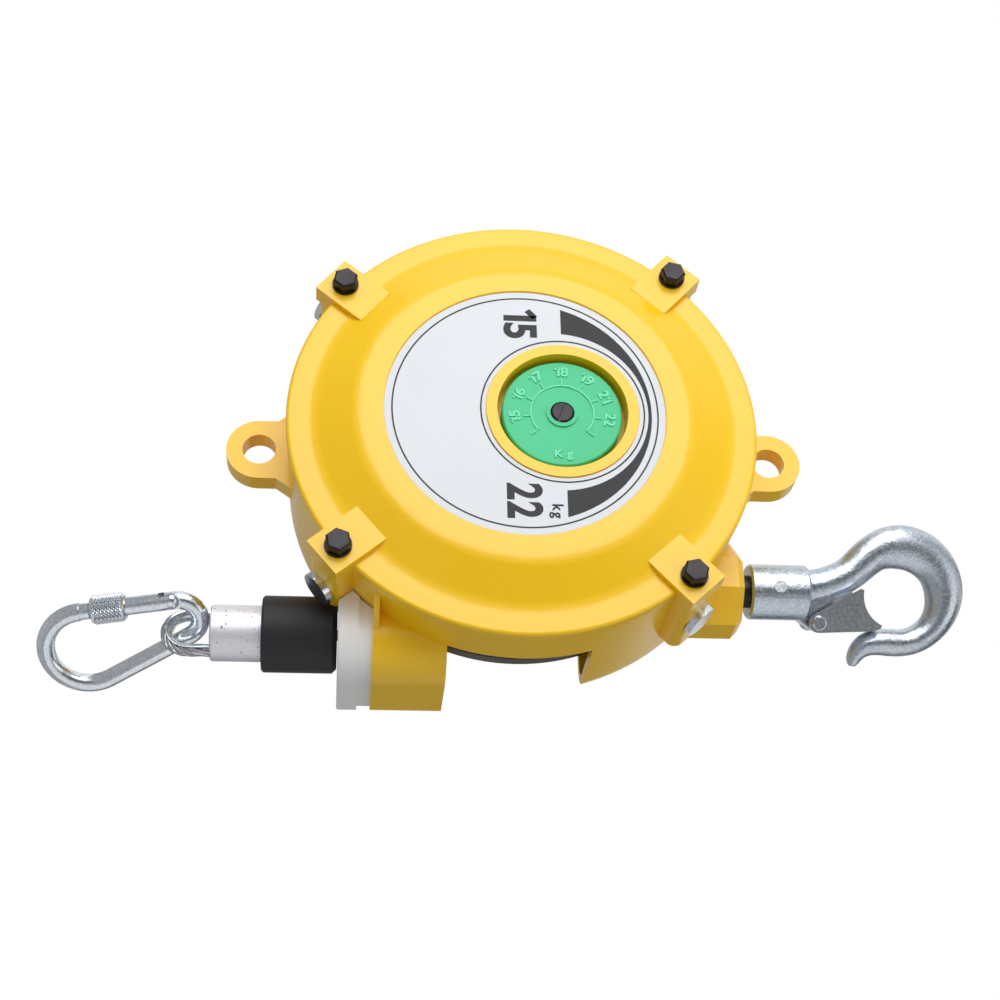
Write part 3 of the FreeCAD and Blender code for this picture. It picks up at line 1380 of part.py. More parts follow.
def make_carabiner():
    place = carabiner_place()
    frame = new_body("carabiner_frame")
    path = new_sketch(frame, "XY")
    nose = D.gate_start + D.gate_length + D.gate_gap
    shoulder = nose + D.nose_length
    narrow = D.narrow_radius
    wide = D.wide_radius
    far = narrow + D.bend_distance
    outline(path, [
        gate_point(shoulder, 0),
        (far - wide * slope, wide * level, -wide),
        (far + wide, 0, -wide),
        (far - wide * slope, -wide * level),
        (narrow - narrow * slope, -narrow * level, -narrow),
        (0, 0, -narrow),
        (narrow - narrow * slope, narrow * level),
        gate_point(D.gate_start + 2.4, 0),
    ], closed=False)
    doc.recompute()
    start = gate_point(shoulder, 0)
    profile = frame.newObject("Sketcher::SketchObject", "section")
    for feature in frame.Origin.OriginFeatures:
        if feature.Role == "YZ_Plane":
            profile.AttachmentSupport = [(feature, "")]
    profile.MapMode = "FlatFace"
    tilt = math.degrees(math.asin(float(slope)))
    profile.AttachmentOffset = FreeCAD.Placement(FreeCAD.Vector(), FreeCAD.Rotation(FreeCAD.Vector(0, 1, 0), tilt))
    profile.setExpression("AttachmentOffset.Base.z", start[0].formula)
    profile.setExpression("AttachmentOffset.Base.x", start[1].formula)
    circle(profile, 0, 0, D.rod_radius)
    pipe = frame.newObject("PartDesign::AdditivePipe", "rod")
    pipe.Profile = profile
    pipe.Spine = (path, [f"Edge{n}" for n in range(1, 8)])
    doc.recompute()
    x, y = gate_point(D.gate_start, 0)
    for side in (1, -1):
        cheek = new_sketch(frame, "XY", side * D.tongue_thick / 2)
        circle(cheek, x, y, D.rod_radius + 0.8)
        pocket(frame, cheek, D.rod_radius * 2, reverse=side > 0)
    hole = new_sketch(frame, "XY", -D.rod_radius)
    circle(hole, x, y, D.gate_pin_radius)
    pocket(frame, hole, D.rod_radius * 2, reverse=True)
    hang(frame, "carabiner_frame", **place)
    tip = new_body("carabiner_nose")
    end = new_sketch(tip, "XY")
    slim = D.rod_radius - D.nose_step
    outline(end, [
        gate_point(nose, 0),
        gate_point(nose, slim - 0.5),
        gate_point(nose + 0.5, slim),
        gate_point(shoulder, slim),
        gate_point(shoulder, 0),
    ])
    turn_round(tip, end, (end, ["Edge5"]))
    hang(tip, "carabiner_nose", **place)
    gate = new_body("carabiner_gate")
    bar = new_sketch(gate, "XY")
    rad = D.rod_radius
    outline(bar, [
        gate_point(D.gate_start - rad, 0),
        gate_point(D.gate_start + D.gate_length, 0),
        gate_point(D.gate_start + D.gate_length, rad),
        (*gate_point(D.gate_start, rad), rad),
    ])
    turn_round(gate, bar, (bar, ["Edge1"]))
    slot = new_sketch(gate, "XY", -D.gate_slot / 2)
    circle(slot, x, y, D.rod_radius * 1.6)
    pocket(gate, slot, D.gate_slot, reverse=True)
    hole = new_sketch(gate, "XY", -D.rod_radius)
    circle(hole, x, y, D.gate_pin_radius + D.running_clearance)
    pocket(gate, hole, D.rod_radius * 2, reverse=True)
    hang(gate, "carabiner_gate", **place)
    pin = new_body("gate_pin")
    rivet = new_sketch(pin, "XY", -D.rod_radius * 0.9)
    circle(rivet, x, y, D.gate_pin_radius)
    pad(pin, rivet, D.rod_radius * 1.8)
    hang(pin, "gate_pin", **place)
    sleeve = new_body("gate_sleeve")
    ring = new_sketch(sleeve, "XY")
    inner = D.rod_radius + D.sleeve_clearance
    outer = D.sleeve_radius
    end = D.gate_start + D.gate_length
    outline(ring, [
        gate_point(end - D.sleeve_length, inner),
        gate_point(end, inner),
        gate_point(end, outer - 0.7),
        gate_point(end - 0.7, outer),
        gate_point(end - D.sleeve_length + 0.7, outer),
        gate_point(end - D.sleeve_length, outer - 0.7),
    ])
    axis = new_sketch(sleeve, "XY")
    outline(axis, [gate_point(0, 0), gate_point(20, 0)], closed=False)
    turn_round(sleeve, ring, (axis, ["Edge1"]))
    hang(sleeve, "gate_sleeve", **place)


# ---------------------------------------------------------------- build, check and write
make_front_cover()
make_rear_case()
make_guide()
make_cover_bolts()
make_label()
make_dial()
make_arbor_drive()
make_worm()
make_drum()
make_hook_shaft()
make_hook()
make_latch()
make_rope_end()
make_carabiner()
doc.recompute()

for item in doc.Objects:
    if "Invalid" in item.State or "Error" in item.State:
        raise RuntimeError(f"{item.Label} ({item.Name}) failed: {item.State}")
os.makedirs("parts", exist_ok=True)
for item in sub_parts:
    shape = item.Shape
    if shape.isNull() or not shape.isValid() or not shape.Solids:
        raise RuntimeError(f"{item.Label} has no valid solid")
    shape.exportStep(f"parts/{item.Label}.step")
    box = shape.BoundBox
    print(f"{item.Label:18s} solids {len(shape.Solids)}  volume {shape.Volume:10.1f}"
          f"  x {box.XMin:7.1f} {box.XMax:7.1f}  y {box.YMin:7.1f} {box.YMax:7.1f}"
          f"  z {box.ZMin:7.1f} {box.ZMax:7.1f}")
print(len(sub_parts), "sub-parts written")
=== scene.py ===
# %% [markdown]
# # A tool balancer in studio light
# A tool balancer hangs over a work bench and carries a tool on a wire rope, so that
# the hand feels no weight. This lesson starts from a frame: the measured solids of all
# its pieces. It gives each piece its finish, and adds what a solid model leaves out:
# the lay of the rope, the printed label, the figures on the dial and the knurled sleeve.

# %% Load the frame
import json
import math

import bmesh
import bpy
from mathutils import Matrix, Vector


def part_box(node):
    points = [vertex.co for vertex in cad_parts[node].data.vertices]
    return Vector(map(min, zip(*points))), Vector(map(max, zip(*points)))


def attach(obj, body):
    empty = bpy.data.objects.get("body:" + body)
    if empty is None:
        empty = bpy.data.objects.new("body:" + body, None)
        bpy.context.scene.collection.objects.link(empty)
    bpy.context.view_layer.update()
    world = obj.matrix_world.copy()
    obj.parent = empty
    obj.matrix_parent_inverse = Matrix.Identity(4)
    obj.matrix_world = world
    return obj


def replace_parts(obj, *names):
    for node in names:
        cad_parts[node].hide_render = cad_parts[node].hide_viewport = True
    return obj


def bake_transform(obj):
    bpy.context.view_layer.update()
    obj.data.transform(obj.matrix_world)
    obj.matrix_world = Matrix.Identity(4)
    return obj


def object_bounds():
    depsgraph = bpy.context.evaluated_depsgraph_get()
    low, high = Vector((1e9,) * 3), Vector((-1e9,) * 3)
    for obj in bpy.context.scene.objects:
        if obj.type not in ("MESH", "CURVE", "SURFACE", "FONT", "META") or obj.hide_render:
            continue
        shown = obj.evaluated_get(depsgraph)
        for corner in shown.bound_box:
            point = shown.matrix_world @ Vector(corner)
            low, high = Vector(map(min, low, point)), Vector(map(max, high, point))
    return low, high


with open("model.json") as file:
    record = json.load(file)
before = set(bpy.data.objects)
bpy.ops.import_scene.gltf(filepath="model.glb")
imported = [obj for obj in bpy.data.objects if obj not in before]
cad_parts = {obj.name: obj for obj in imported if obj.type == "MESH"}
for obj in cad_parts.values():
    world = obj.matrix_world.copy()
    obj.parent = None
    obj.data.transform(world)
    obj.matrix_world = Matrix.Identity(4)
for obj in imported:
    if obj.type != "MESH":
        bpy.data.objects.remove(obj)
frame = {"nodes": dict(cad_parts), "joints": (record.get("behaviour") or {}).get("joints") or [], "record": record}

cad_low, cad_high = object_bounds()
MM = 0.001
print("frame size in mm:", [round(side / MM, 1) for side in cad_high - cad_low])

# %% [markdown]
# ## Where things are
# Every new piece has to sit where the solids are, so the few places that they share
# are measured from the frame and not typed in. The balancer hangs along Z, its dial
# looks along -Y, and the casing, the dial and the rope each have their own line. The
# cover's flange lies a step behind its front, and the rope can be drawn out 1.5 m.


# %% Measure the shared lines
def middle(node):
    low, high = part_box(node)
    return (low + high) / 2


def front(node):
    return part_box(node)[0].y


PLATEAU_STEP = 9.5 * MM
TRAVEL = 1.5
casing_axis = middle("arbor")
dial_axis = middle("load_dial")
rope_line = middle("buffer")
flange_face = front("front_cover") + PLATEAU_STEP
print("casing axis", casing_axis, "rope line", rope_line)


# %% [markdown]
# ## Shader sums as plain Python
# A finish is mostly small sums: a pattern, times a strength, added to a level. Wiring
# Math nodes by hand hides that sum. Here a small class stands for the output of a node,
# and writing + or * with it adds the Math node. One method makes every other node.


# %% A finish and its varying amounts
class Amount:
    """A number that varies over a surface."""

    def __init__(self, finish, socket):
        self.finish = finish
        self.socket = socket

    def math(self, operation, first, second):
        inputs = {0: first, 1: second}
        return self.finish.node("Math", {"operation": operation}, inputs)

    def __add__(self, other):
        return self.math("ADD", self, other)

    def __radd__(self, other):
        return self.math("ADD", other, self)

    def __mul__(self, other):
        return self.math("MULTIPLY", self, other)

    def __rmul__(self, other):
        return self.math("MULTIPLY", other, self)


class Nodes:
    """A node tree that is being wired: fixed settings first, then values and links."""

    def __init__(self, tree):
        self.tree = tree

    def feed(self, node, inputs):
        for name, value in inputs.items():
            if isinstance(value, Amount):
                self.tree.links.new(value.socket, node.inputs[name])
            elif isinstance(value, tuple) and len(value) == 3 and node.inputs[name].type == "RGBA":
                node.inputs[name].default_value = (*value, 1)
            else:
                node.inputs[name].default_value = value

    def node(self, kind, settings=None, inputs=None, output=0):
        node = self.tree.nodes.new("ShaderNode" + kind)
        for name, value in (settings or {}).items():
            if name == "stops":
                while len(node.color_ramp.elements) < len(value):
                    node.color_ramp.elements.new(0.5)
                for element, (place, shade) in zip(node.color_ramp.elements, value):
                    element.position = place
                    element.color = (shade, shade, shade, 1)
            else:
                setattr(node, name, value)
        self.feed(node, inputs or {})
        return Amount(self, node.outputs[output])

    def ramp(self, amount, *stops):
        return self.node("ValToRGB", {"stops": stops}, {"Fac": amount})

    def blend(self, amount, first, second):
        """Two colours, mixed by an amount from 0 to 1."""
        inputs = {0: amount, 6: first, 7: second}
        return self.node("Mix", {"data_type": "RGBA"}, inputs, output=2)


class Finish(Nodes):
    """A material: the shader's fixed values are given at once, the varying ones by set."""

    def __init__(self, name, **fixed):
        self.material = bpy.data.materials.new(name)
        self.material.use_nodes = True
        super().__init__(self.material.node_tree)
        self.shader = self.tree.nodes["Principled BSDF"]
        self.set(**fixed)

    def set(self, **inputs):
        named = {name.replace("_", " "): value for name, value in inputs.items()}
        self.feed(self.shader, named)

    def noise(self, scale, detail=2.0, roughness=0.5):
        place = self.node("TexCoord", output="Object")
        inputs = {"Vector": place, "Scale": scale, "Detail": detail, "Roughness": roughness}
        return self.node("TexNoise", None, inputs)

    def relief(self, height, distance, strength=1.0):
        inputs = {"Height": height, "Distance": distance, "Strength": strength}
        return self.node("Bump", None, inputs)


print("a finish is ready to be mixed")

# %% [markdown]
# ## Yellow enamel on a casting
# The two halves of the casing are cast alloy under a thick yellow enamel. The enamel
# runs glossy over a skin that is never quite flat. A clear coat over a slightly rough
# base gives that double look, a broad sheen with small sharp lights on top, and a low
# bump with two sizes of noise gives the orange peel and the casting's own waves.

# %% Cast and enamelled casing
enamel = Finish("yellow_enamel", Coat_Weight=0.3, Coat_Roughness=0.1, Specular_IOR_Level=0.4)
cloud = enamel.noise(16, 3)
speck = enamel.noise(900, 2)
enamel.set(
    Base_Color=enamel.blend(cloud, (0.97, 0.56, 0.002), (1.0, 0.64, 0.005)),
    Roughness=0.26 + 0.14 * cloud,
    Normal=enamel.relief(enamel.noise(160, 4) + 0.12 * speck, 0.4 * MM, 0.4),
)
print("enamel mixed")

# %% [markdown]
# ## Zinc on forged and drawn steel
# The hook is forged and then zinc plated, so its skin is pitted and the plating turns
# straw-coloured in patches. The carabiner is drawn rod and far smoother. Both are one
# bright metal, so one function mixes them. It takes the depth of the pits, how strong
# the straw tint is, the roughness, and the colour of the dull and of the clear places.


# %% Zinc plated steel
STRAW = (0.80, 0.72, 0.52)


def zinc_plate(name, pitting, tint, rough, dull, clear):
    zinc = Finish(name, Metallic=1.0)
    patches = zinc.ramp(zinc.noise(45, 3), (0.5, 0.0), (0.72, 1.0))
    skin = zinc.noise(700, 5, 0.62)
    hammered = zinc.noise(240, 3)
    clean = zinc.blend(patches * tint, clear, STRAW)
    zinc.set(
        Base_Color=zinc.blend(zinc.ramp(skin, (0.3, 0.0), (0.7, 1.0)), dull, clean),
        Roughness=rough + 0.14 * skin,
        Normal=zinc.relief(skin + hammered, pitting, 0.6),
    )
    return zinc


forged_zinc = zinc_plate(
    "forged_zinc", 0.3 * MM, 0.3, 0.18, dull=(0.42, 0.47, 0.53), clear=(0.60, 0.66, 0.73)
)
bright_zinc = zinc_plate(
    "bright_zinc", 0.1 * MM, 0.12, 0.1, dull=(0.56, 0.60, 0.65), clear=(0.80, 0.85, 0.90)
)
print("zinc finishes:", forged_zinc.material.name, bright_zinc.material.name)

# %% [markdown]
# ## Dark, turned and moulded finishes
# The small steel parts are blackened, the shafts are turned, the drum is a dull casting
# and the bushes are bronze. Each is a base colour, a grain and a roughness. A single
# function makes them all, and takes what differs: the two colours, the metal, and how
# rough, fine and deep the grain is. A pressed ferrule has dark specks besides.


# %% A plain finish with its grain
def grained(name, light, dark, metal, rough, grain, depth, speckle=None):
    finish = Finish(name, Metallic=metal)
    fine = finish.noise(grain, 4)
    colour = finish.blend(finish.noise(grain / 9, 3), dark, light)
    if speckle:
        dots = finish.ramp(finish.noise(speckle, 1), (0.26, 1.0), (0.31, 0.0))
        colour = finish.blend(dots, colour, tuple(0.25 * part for part in dark))
    finish.set(
        Base_Color=colour,
        Roughness=rough + 0.15 * fine,
        Normal=finish.relief(fine, depth, 0.5),
    )
    return finish


black_oxide = grained(
    "black_oxide", (0.045, 0.04, 0.045), (0.014, 0.012, 0.014),
    metal=0.7, rough=0.3, grain=700, depth=0.08 * MM,
)
turned_steel = grained(
    "turned_steel", (0.5, 0.5, 0.52), (0.36, 0.36, 0.38),
    metal=1.0, rough=0.25, grain=900, depth=0.03 * MM,
)
spring_strip = grained(
    "spring_strip", (0.32, 0.34, 0.39), (0.17, 0.18, 0.22),
    metal=1.0, rough=0.3, grain=500, depth=0.03 * MM,
)
bush_bronze = grained(
    "bush_bronze", (0.5, 0.33, 0.13), (0.38, 0.23, 0.08),
    metal=1.0, rough=0.35, grain=800, depth=0.03 * MM,
)
drum_casting = grained(
    "drum_casting", (0.2, 0.19, 0.19), (0.12, 0.115, 0.11),
    metal=0.85, rough=0.42, grain=600, depth=0.1 * MM,
)
rope_steel = grained(
    "rope_steel", (0.66, 0.67, 0.69), (0.40, 0.40, 0.42),
    metal=1.0, rough=0.26, grain=1500, depth=0.04 * MM,
)
ferrule_skin = grained(
    "pressed_ferrule", (0.88, 0.87, 0.93), (0.74, 0.73, 0.79),
    metal=0.8, rough=0.42, grain=900, depth=0.12 * MM, speckle=700,
)
buffer_skin = grained(
    "buffer_rubber", (0.014, 0.012, 0.015), (0.008, 0.007, 0.009),
    metal=0.0, rough=0.5, grain=1100, depth=0.12 * MM,
)
nylon = grained(
    "white_nylon", (0.93, 0.93, 0.93), (0.86, 0.86, 0.86),
    metal=0.0, rough=0.38, grain=300, depth=0.08 * MM,
)
dial_plastic = grained(
    "dial_plastic", (0.055, 0.63, 0.29), (0.045, 0.56, 0.25),
    metal=0.0, rough=0.42, grain=500, depth=0.05 * MM,
)
# painted highlight: the raised strokes get a paler green than the dial, in place of the light on their edges
dial_relief_painted_highlight = grained(
    "dial_relief_painted_highlight", (0.16, 0.82, 0.48), (0.12, 0.74, 0.42),
    metal=0.0, rough=0.36, grain=500, depth=0.03 * MM,
)
label_face = grained(
    "label_face", (0.72, 0.75, 0.79), (0.67, 0.70, 0.74),
    metal=0.0, rough=0.28, grain=260, depth=0.03 * MM,
)
print_ink = grained(
    "print_ink", (0.012, 0.011, 0.014), (0.007, 0.006, 0.008),
    metal=0.0, rough=0.5, grain=700, depth=0.03 * MM,
)
print("finishes so far:", len(bpy.data.materials))

# %% [markdown]
# ## A finish for every solid
# The frame names each solid's finish slot, and each slot has one finish. Only the hook
# differs inside its slot: it is forged, while the rest of the zinc is bright.

# %% Paint the solids
SLOT_FINISH = {
    "cast_yellow": enamel,
    "zinc_steel": bright_zinc,
    "black_steel": black_oxide,
    "spring_steel": spring_strip,
    "machined_steel": turned_steel,
    "bronze": bush_bronze,
    "drum_alloy": drum_casting,
    "wire_rope": rope_steel,
    "ferrule_alloy": ferrule_skin,
    "buffer_rubber": buffer_skin,
    "guide_nylon": nylon,
    "label_sheet": label_face,
    "dial_green": dial_plastic,
}
FORGED = ("suspension_hook",)


def coat(piece, finish):
    piece.data.materials.clear()
    piece.data.materials.append(finish.material)


for subpart in frame["record"]["subparts"]:
    node = subpart["node"]
    solid = frame["nodes"][node]
    coat(solid, forged_zinc if node in FORGED else SLOT_FINISH[subpart["material_slot"]])
print("painted", len(frame["nodes"]), "solids")

# %% [markdown]
# ## Tools for modelling by hand
# Operators act on what is selected, so each step begins with nothing selected. A
# finished piece keeps its place in its mesh and its object at the origin. The casing's
# face is drawn like a clock dial: a distance from a centre and an angle, measured from
# the hook's side, which is how the print and the dial's figures are laid out.


# %% Small helpers
def clear_selection():
    bpy.ops.object.select_all(action="DESELECT")


def pick(piece):
    clear_selection()
    piece.select_set(True)
    bpy.context.view_layer.objects.active = piece


def place_in_mesh(piece):
    pick(piece)
    bpy.ops.object.transform_apply(location=True, rotation=True, scale=True)


def apply_modifier(piece, name, kind, **settings):
    bpy.context.view_layer.objects.active = piece
    modifier = piece.modifiers.new(name, kind)
    for setting, value in settings.items():
        setattr(modifier, setting, value)
    bpy.ops.object.modifier_apply(modifier=name)


def settle(piece, name, body, finish):
    """Apply the piece's place, name it, and let it ride on its body."""
    place_in_mesh(piece)
    piece.name = name
    coat(piece, finish)
    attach(piece, body)
    return piece


def smooth(piece, degrees):
    pick(piece)
    bpy.ops.object.shade_smooth_by_angle(angle=math.radians(degrees))


def recalculate(piece):
    bpy.context.view_layer.objects.active = piece
    bpy.ops.object.mode_set(mode="EDIT")
    bpy.ops.mesh.select_all(action="SELECT")
    bpy.ops.mesh.remove_doubles(threshold=0.000005)
    bpy.ops.mesh.normals_make_consistent(inside=False)
    bpy.ops.object.mode_set(mode="OBJECT")


def join(pieces):
    clear_selection()
    for piece in pieces:
        piece.select_set(True)
    bpy.context.view_layer.objects.active = pieces[0]
    bpy.ops.object.join()
    return pieces[0]


def outward(degrees):
    turn = math.radians(degrees)
    return Vector((-math.sin(turn), 0, math.cos(turn)))


def on_face(centre, distance, degrees, height):
    """A place on the casing's face: degrees run from the hook's side, seen from the front."""
    away = outward(degrees) * distance
    return Vector((centre.x + away.x, height, centre.z + away.z))


def link(name, data):
    item = bpy.data.objects.new(name, data)
    bpy.context.scene.collection.objects.link(item)
    return item


print("helpers ready")

# %% [markdown]
# ## Lettering
# Figures are cut from the built-in type, given a thickness, and turned into a mesh
# before they are placed. Its figure one is a bare stroke, so that gets a flag, as on
# most scales. Each word is then scaled to a height and a width that are measured on
# the finished letters, because a font's own size says little about its figures.

# %% Cut a word out of type
UP = Vector((0, 0, 1))
LEFT = Vector((-1, 0, 0))
TOWARDS_VIEWER = Vector((0, -1, 0))
SIGN_GAP = 0.055
WORD_GAP = 0.18


def corners_of(piece):
    spots = [vertex.co for vertex in piece.data.vertices]
    low = Vector([min(spot[axis] for spot in spots) for axis in range(3)])
    return low, Vector([max(spot[axis] for spot in spots) for axis in range(3)])


def cut_sign(sign, weight):
    clear_selection()
    bpy.ops.object.text_add()
    letter = bpy.context.object
    letter.data.body = sign
    letter.data.extrude = 0.5
    letter.data.offset = weight
    letter.data.resolution_u = 5
    bpy.ops.object.convert(target="MESH")
    low, high = corners_of(letter)
    if sign == "1":
        stroke = high.x - low.x
        bpy.ops.mesh.primitive_cube_add(size=1)
        flag = bpy.context.object
        flag.data.transform(Matrix.Diagonal((0.27, stroke * 0.85, 1, 1)))
        lean = Matrix.Rotation(math.radians(40), 4, "Z")
        corner = Vector((low.x - 0.05, high.y - 0.125, (low.z + high.z) / 2))
        flag.data.transform(Matrix.Translation(corner) @ lean)
        letter = join([letter, flag])
    return letter


def lettering(words, centre, up, high, wide, thick, weight):
    """Words of one size: weight makes the type's strokes bolder."""
    cursor = 0.0
    cut = []
    for sign in words:
        if sign == " ":
            cursor += WORD_GAP
            continue
        letter = cut_sign(sign, weight)
        low, top = corners_of(letter)
        letter.data.transform(Matrix.Translation((cursor - low.x, 0, 0)))
        cursor += top.x - low.x + SIGN_GAP
        cut.append(letter)
    word = join(cut)
    low, top = corners_of(word)
    scale = Matrix.Diagonal((wide / (top.x - low.x), high / (top.y - low.y), thick, 1))
    word.data.transform(scale @ Matrix.Translation(-(low + top) / 2))
    across = up.cross(TOWARDS_VIEWER)
    turn = Matrix((across, up, TOWARDS_VIEWER)).transposed().to_4x4()
    word.data.transform(Matrix.Translation(centre) @ turn)
    return word


print("type is ready")

# %% [markdown]
# ## The cover's soft shoulders
# Cast shoulders are never sharp: the plateau rolls into the slope and the slope into
# the flange. The solid keeps crisp lines there, so a thin turned skin carries the
# enamelled face. Its profile is pulled out point by point, its corners are rounded by
# a vertex bevel, and a full spin about the casing's axis turns it.

# %% Draw the face's profile
SKIN = 0.42 * MM
RIM = 105.0
PROFILE = (
    (63.0, 8.8, False), (63.0, 9.0, True), (75.0, 9.0, True),
    (93.0, 0.0, True), (RIM, 0.0, True), (RIM, -5.6, False),
)
SHOULDERS = ((2, 3.2), (3, 3.2), (4, 1.6))


def profile_point(radius, rise, proud):
    """A corner at this radius and rise from the flange, and the skin's thickness proud."""
    outside = SKIN if radius == RIM else 0
    lift = SKIN if proud else 0
    return Vector((
        casing_axis.x + radius * MM + outside, flange_face - rise * MM - lift, casing_axis.z
    ))


clear_selection()
bpy.ops.mesh.primitive_plane_add(size=0.001)
face = bpy.context.object
bpy.ops.object.mode_set(mode="EDIT")
bpy.ops.mesh.merge(type="CENTER")
corners = [profile_point(*row) for row in PROFILE]
bpy.ops.transform.translate(value=corners[0])
for before, after in zip(corners, corners[1:]):
    bpy.ops.mesh.extrude_vertices_move(TRANSFORM_OT_translate={"value": after - before})
bpy.ops.object.mode_set(mode="OBJECT")
for number, width in SHOULDERS:
    bpy.ops.object.mode_set(mode="EDIT")
    bpy.ops.mesh.select_mode(type="VERT")
    bpy.ops.mesh.select_all(action="DESELECT")
    outline = bmesh.from_edit_mesh(face.data)
    for vertex in outline.verts:
        vertex.select_set((vertex.co - corners[number]).length < 0.01 * MM)
    bpy.ops.mesh.bevel(affect="VERTICES", offset=width * MM, segments=6)
    bpy.ops.object.mode_set(mode="OBJECT")
print("profile has", len(face.data.vertices), "points")

# %% Turn the profile
bpy.ops.object.mode_set(mode="EDIT")
bpy.ops.mesh.select_all(action="SELECT")
bpy.ops.mesh.spin(steps=160, angle=2 * math.pi, center=casing_axis, axis=TOWARDS_VIEWER)
bpy.ops.object.mode_set(mode="OBJECT")
recalculate(face)
foremost = min(face.data.polygons, key=lambda side: side.center.y)
if foremost.normal.y > 0:
    face.data.flip_normals()
apply_modifier(face, "wall", "SOLIDIFY", thickness=0.3 * MM, offset=-1)
smooth(face, 35)
settle(face, "cover_face", "housing", enamel)
print("cover face has", len(face.data.polygons), "faces")

# %% [markdown]
# ## The printed label
# A white sheet lies in a round recess of the cover. Two thin rings frame it, one at its
# rim and one round the dial, and a crescent that grows towards both ends shows that a
# heavier tool needs more spring. A ring is a filled circle that is inset, its middle
# deleted and the rest extruded. The crescent is a disc with a second disc cut out and
# its inner side sliced off. The ink stands a few hundredths proud, like a thick print.

# %% Rings and crescent
INK = 0.08 * MM
RING_WIDTH = 0.7 * MM
SIDEWAYS = (math.pi / 2, 0, 0)
label_front = front("scale_label")
ink_front = label_front - INK / 2


def print_ring(centre, radius):
    clear_selection()
    place = Vector((centre.x, label_front - INK, centre.z))
    outside = radius + RING_WIDTH / 2
    bpy.ops.mesh.primitive_circle_add(
        vertices=144, radius=outside, fill_type="NGON", location=place, rotation=SIDEWAYS
    )
    ring = bpy.context.object
    bpy.ops.object.mode_set(mode="EDIT")
    bpy.ops.mesh.inset(thickness=RING_WIDTH)
    bpy.ops.mesh.delete(type="FACE")
    bpy.ops.mesh.select_all(action="SELECT")
    bpy.ops.mesh.extrude_region_move(TRANSFORM_OT_translate={"value": (0, INK, 0)})
    bpy.ops.object.mode_set(mode="OBJECT")
    recalculate(ring)
    return ring


rim_ring = print_ring(casing_axis, 59.0 * MM)
dial_ring = print_ring(dial_axis, 36.4 * MM)
settle(join([rim_ring, dial_ring]), "label_rings", "housing", print_ink)
print("rings printed at", round(label_front / MM, 2), "mm")


# %% The crescent
CRESCENT_RADIUS = 56.2 * MM
CUT_RADIUS = 40.5 * MM
CUT_RISE = 14.2 * MM
CRESCENT_FOOT = 17 * MM


def disc(radius, centre, depth):
    clear_selection()
    bpy.ops.mesh.primitive_cylinder_add(
        vertices=180, radius=radius, depth=depth, location=centre, rotation=SIDEWAYS
    )
    return bpy.context.object


ink_centre = Vector((casing_axis.x, ink_front, casing_axis.z))
crescent = disc(CRESCENT_RADIUS, ink_centre, INK)
inner = disc(CUT_RADIUS, ink_centre + CUT_RISE * UP, 4 * INK)
apply_modifier(crescent, "cut", "BOOLEAN", operation="DIFFERENCE", object=inner)
bpy.data.objects.remove(inner)
bpy.ops.object.mode_set(mode="EDIT")
bpy.ops.mesh.select_all(action="SELECT")
cut_line = casing_axis + CRESCENT_FOOT * UP
bpy.ops.mesh.bisect(plane_co=cut_line, plane_no=UP, clear_inner=True, use_fill=True)
bpy.ops.object.mode_set(mode="OBJECT")
recalculate(crescent)
settle(crescent, "label_crescent", "housing", print_ink)
print("crescent has", len(crescent.data.polygons), "faces")

# %% [markdown]
# The lightest and the heaviest load stand in large condensed figures at the two ends of
# the crescent, with the unit beside the heavier one. They read upright on a balancer
# that hangs.

# %% Load figures
# words, mm to the left of the casing's axis, mm above it, height, width, weight
PRINTED = (
    ("15", 45.4, -1.4, 15.6, 16.1, 0.035),
    ("22", -46.0, -1.4, 15.6, 17.2, 0.035),
    ("kg", -50.8, 12.0, 6.4, 6.8, 0.025),
)
figures = []
for words, aside, rise, high, wide, weight in PRINTED:
    centre = ink_centre + aside * MM * LEFT + rise * MM * UP
    figures.append(lettering(words, centre, UP, high * MM, wide * MM, INK, weight))
settle(join(figures), "label_figures", "housing", print_ink)
print("figures printed:", [row[0] for row in PRINTED])

# %% [markdown]
# ## The dial's raised scale
# The dial is one green moulding, so its scale stands up in the same plastic: an arc with
# a tick for each load, a longer mark at both ends, and the figures round it with their
# heads outwards. The arc is a small square profile spun about the dial's axis, and each
# tick is a bar with softened edges. The strokes are painted a paler green, a painted
# highlight that stands in for the light on their raised edges.

# %% The arc
RAISED = 0.6 * MM
LINE = 0.62 * MM
dial_face = front("load_dial") + 0.8 * MM
SUNK = 0.05 * MM
stroke_height = dial_face - RAISED / 2 + SUNK
SCALE_RADIUS = 14.1 * MM
TICK_END = 17.6 * MM
LAST_TICK_END = 18.2 * MM
SCALE_FIRST, SCALE_LAST = 220.0, -41.0
END_INSET = 0.8
LOADS = ("15", "16", "17", "18", "19", "21", "22")
step = (SCALE_FIRST - SCALE_LAST) / (len(LOADS) + 1)
tick_degrees = [SCALE_FIRST - (count + 1) * step for count in range(len(LOADS))]


def about_dial(degrees):
    return Matrix.Rotation(-math.radians(degrees), 4, "Y")


def raised_bar(near, far, degrees):
    """A softened bar on the dial's face that points away from the dial's centre."""
    clear_selection()
    bpy.ops.mesh.primitive_cube_add(size=1)
    bar = bpy.context.object
    bar.scale = (LINE, RAISED, far - near)
    bpy.ops.object.transform_apply(location=False, rotation=False, scale=True)
    apply_modifier(bar, "soften", "BEVEL", width=0.12 * MM, segments=2)
    bar_middle = on_face(dial_axis, (near + far) / 2, degrees, stroke_height)
    bar.data.transform(Matrix.Translation(bar_middle) @ about_dial(degrees))
    return bar


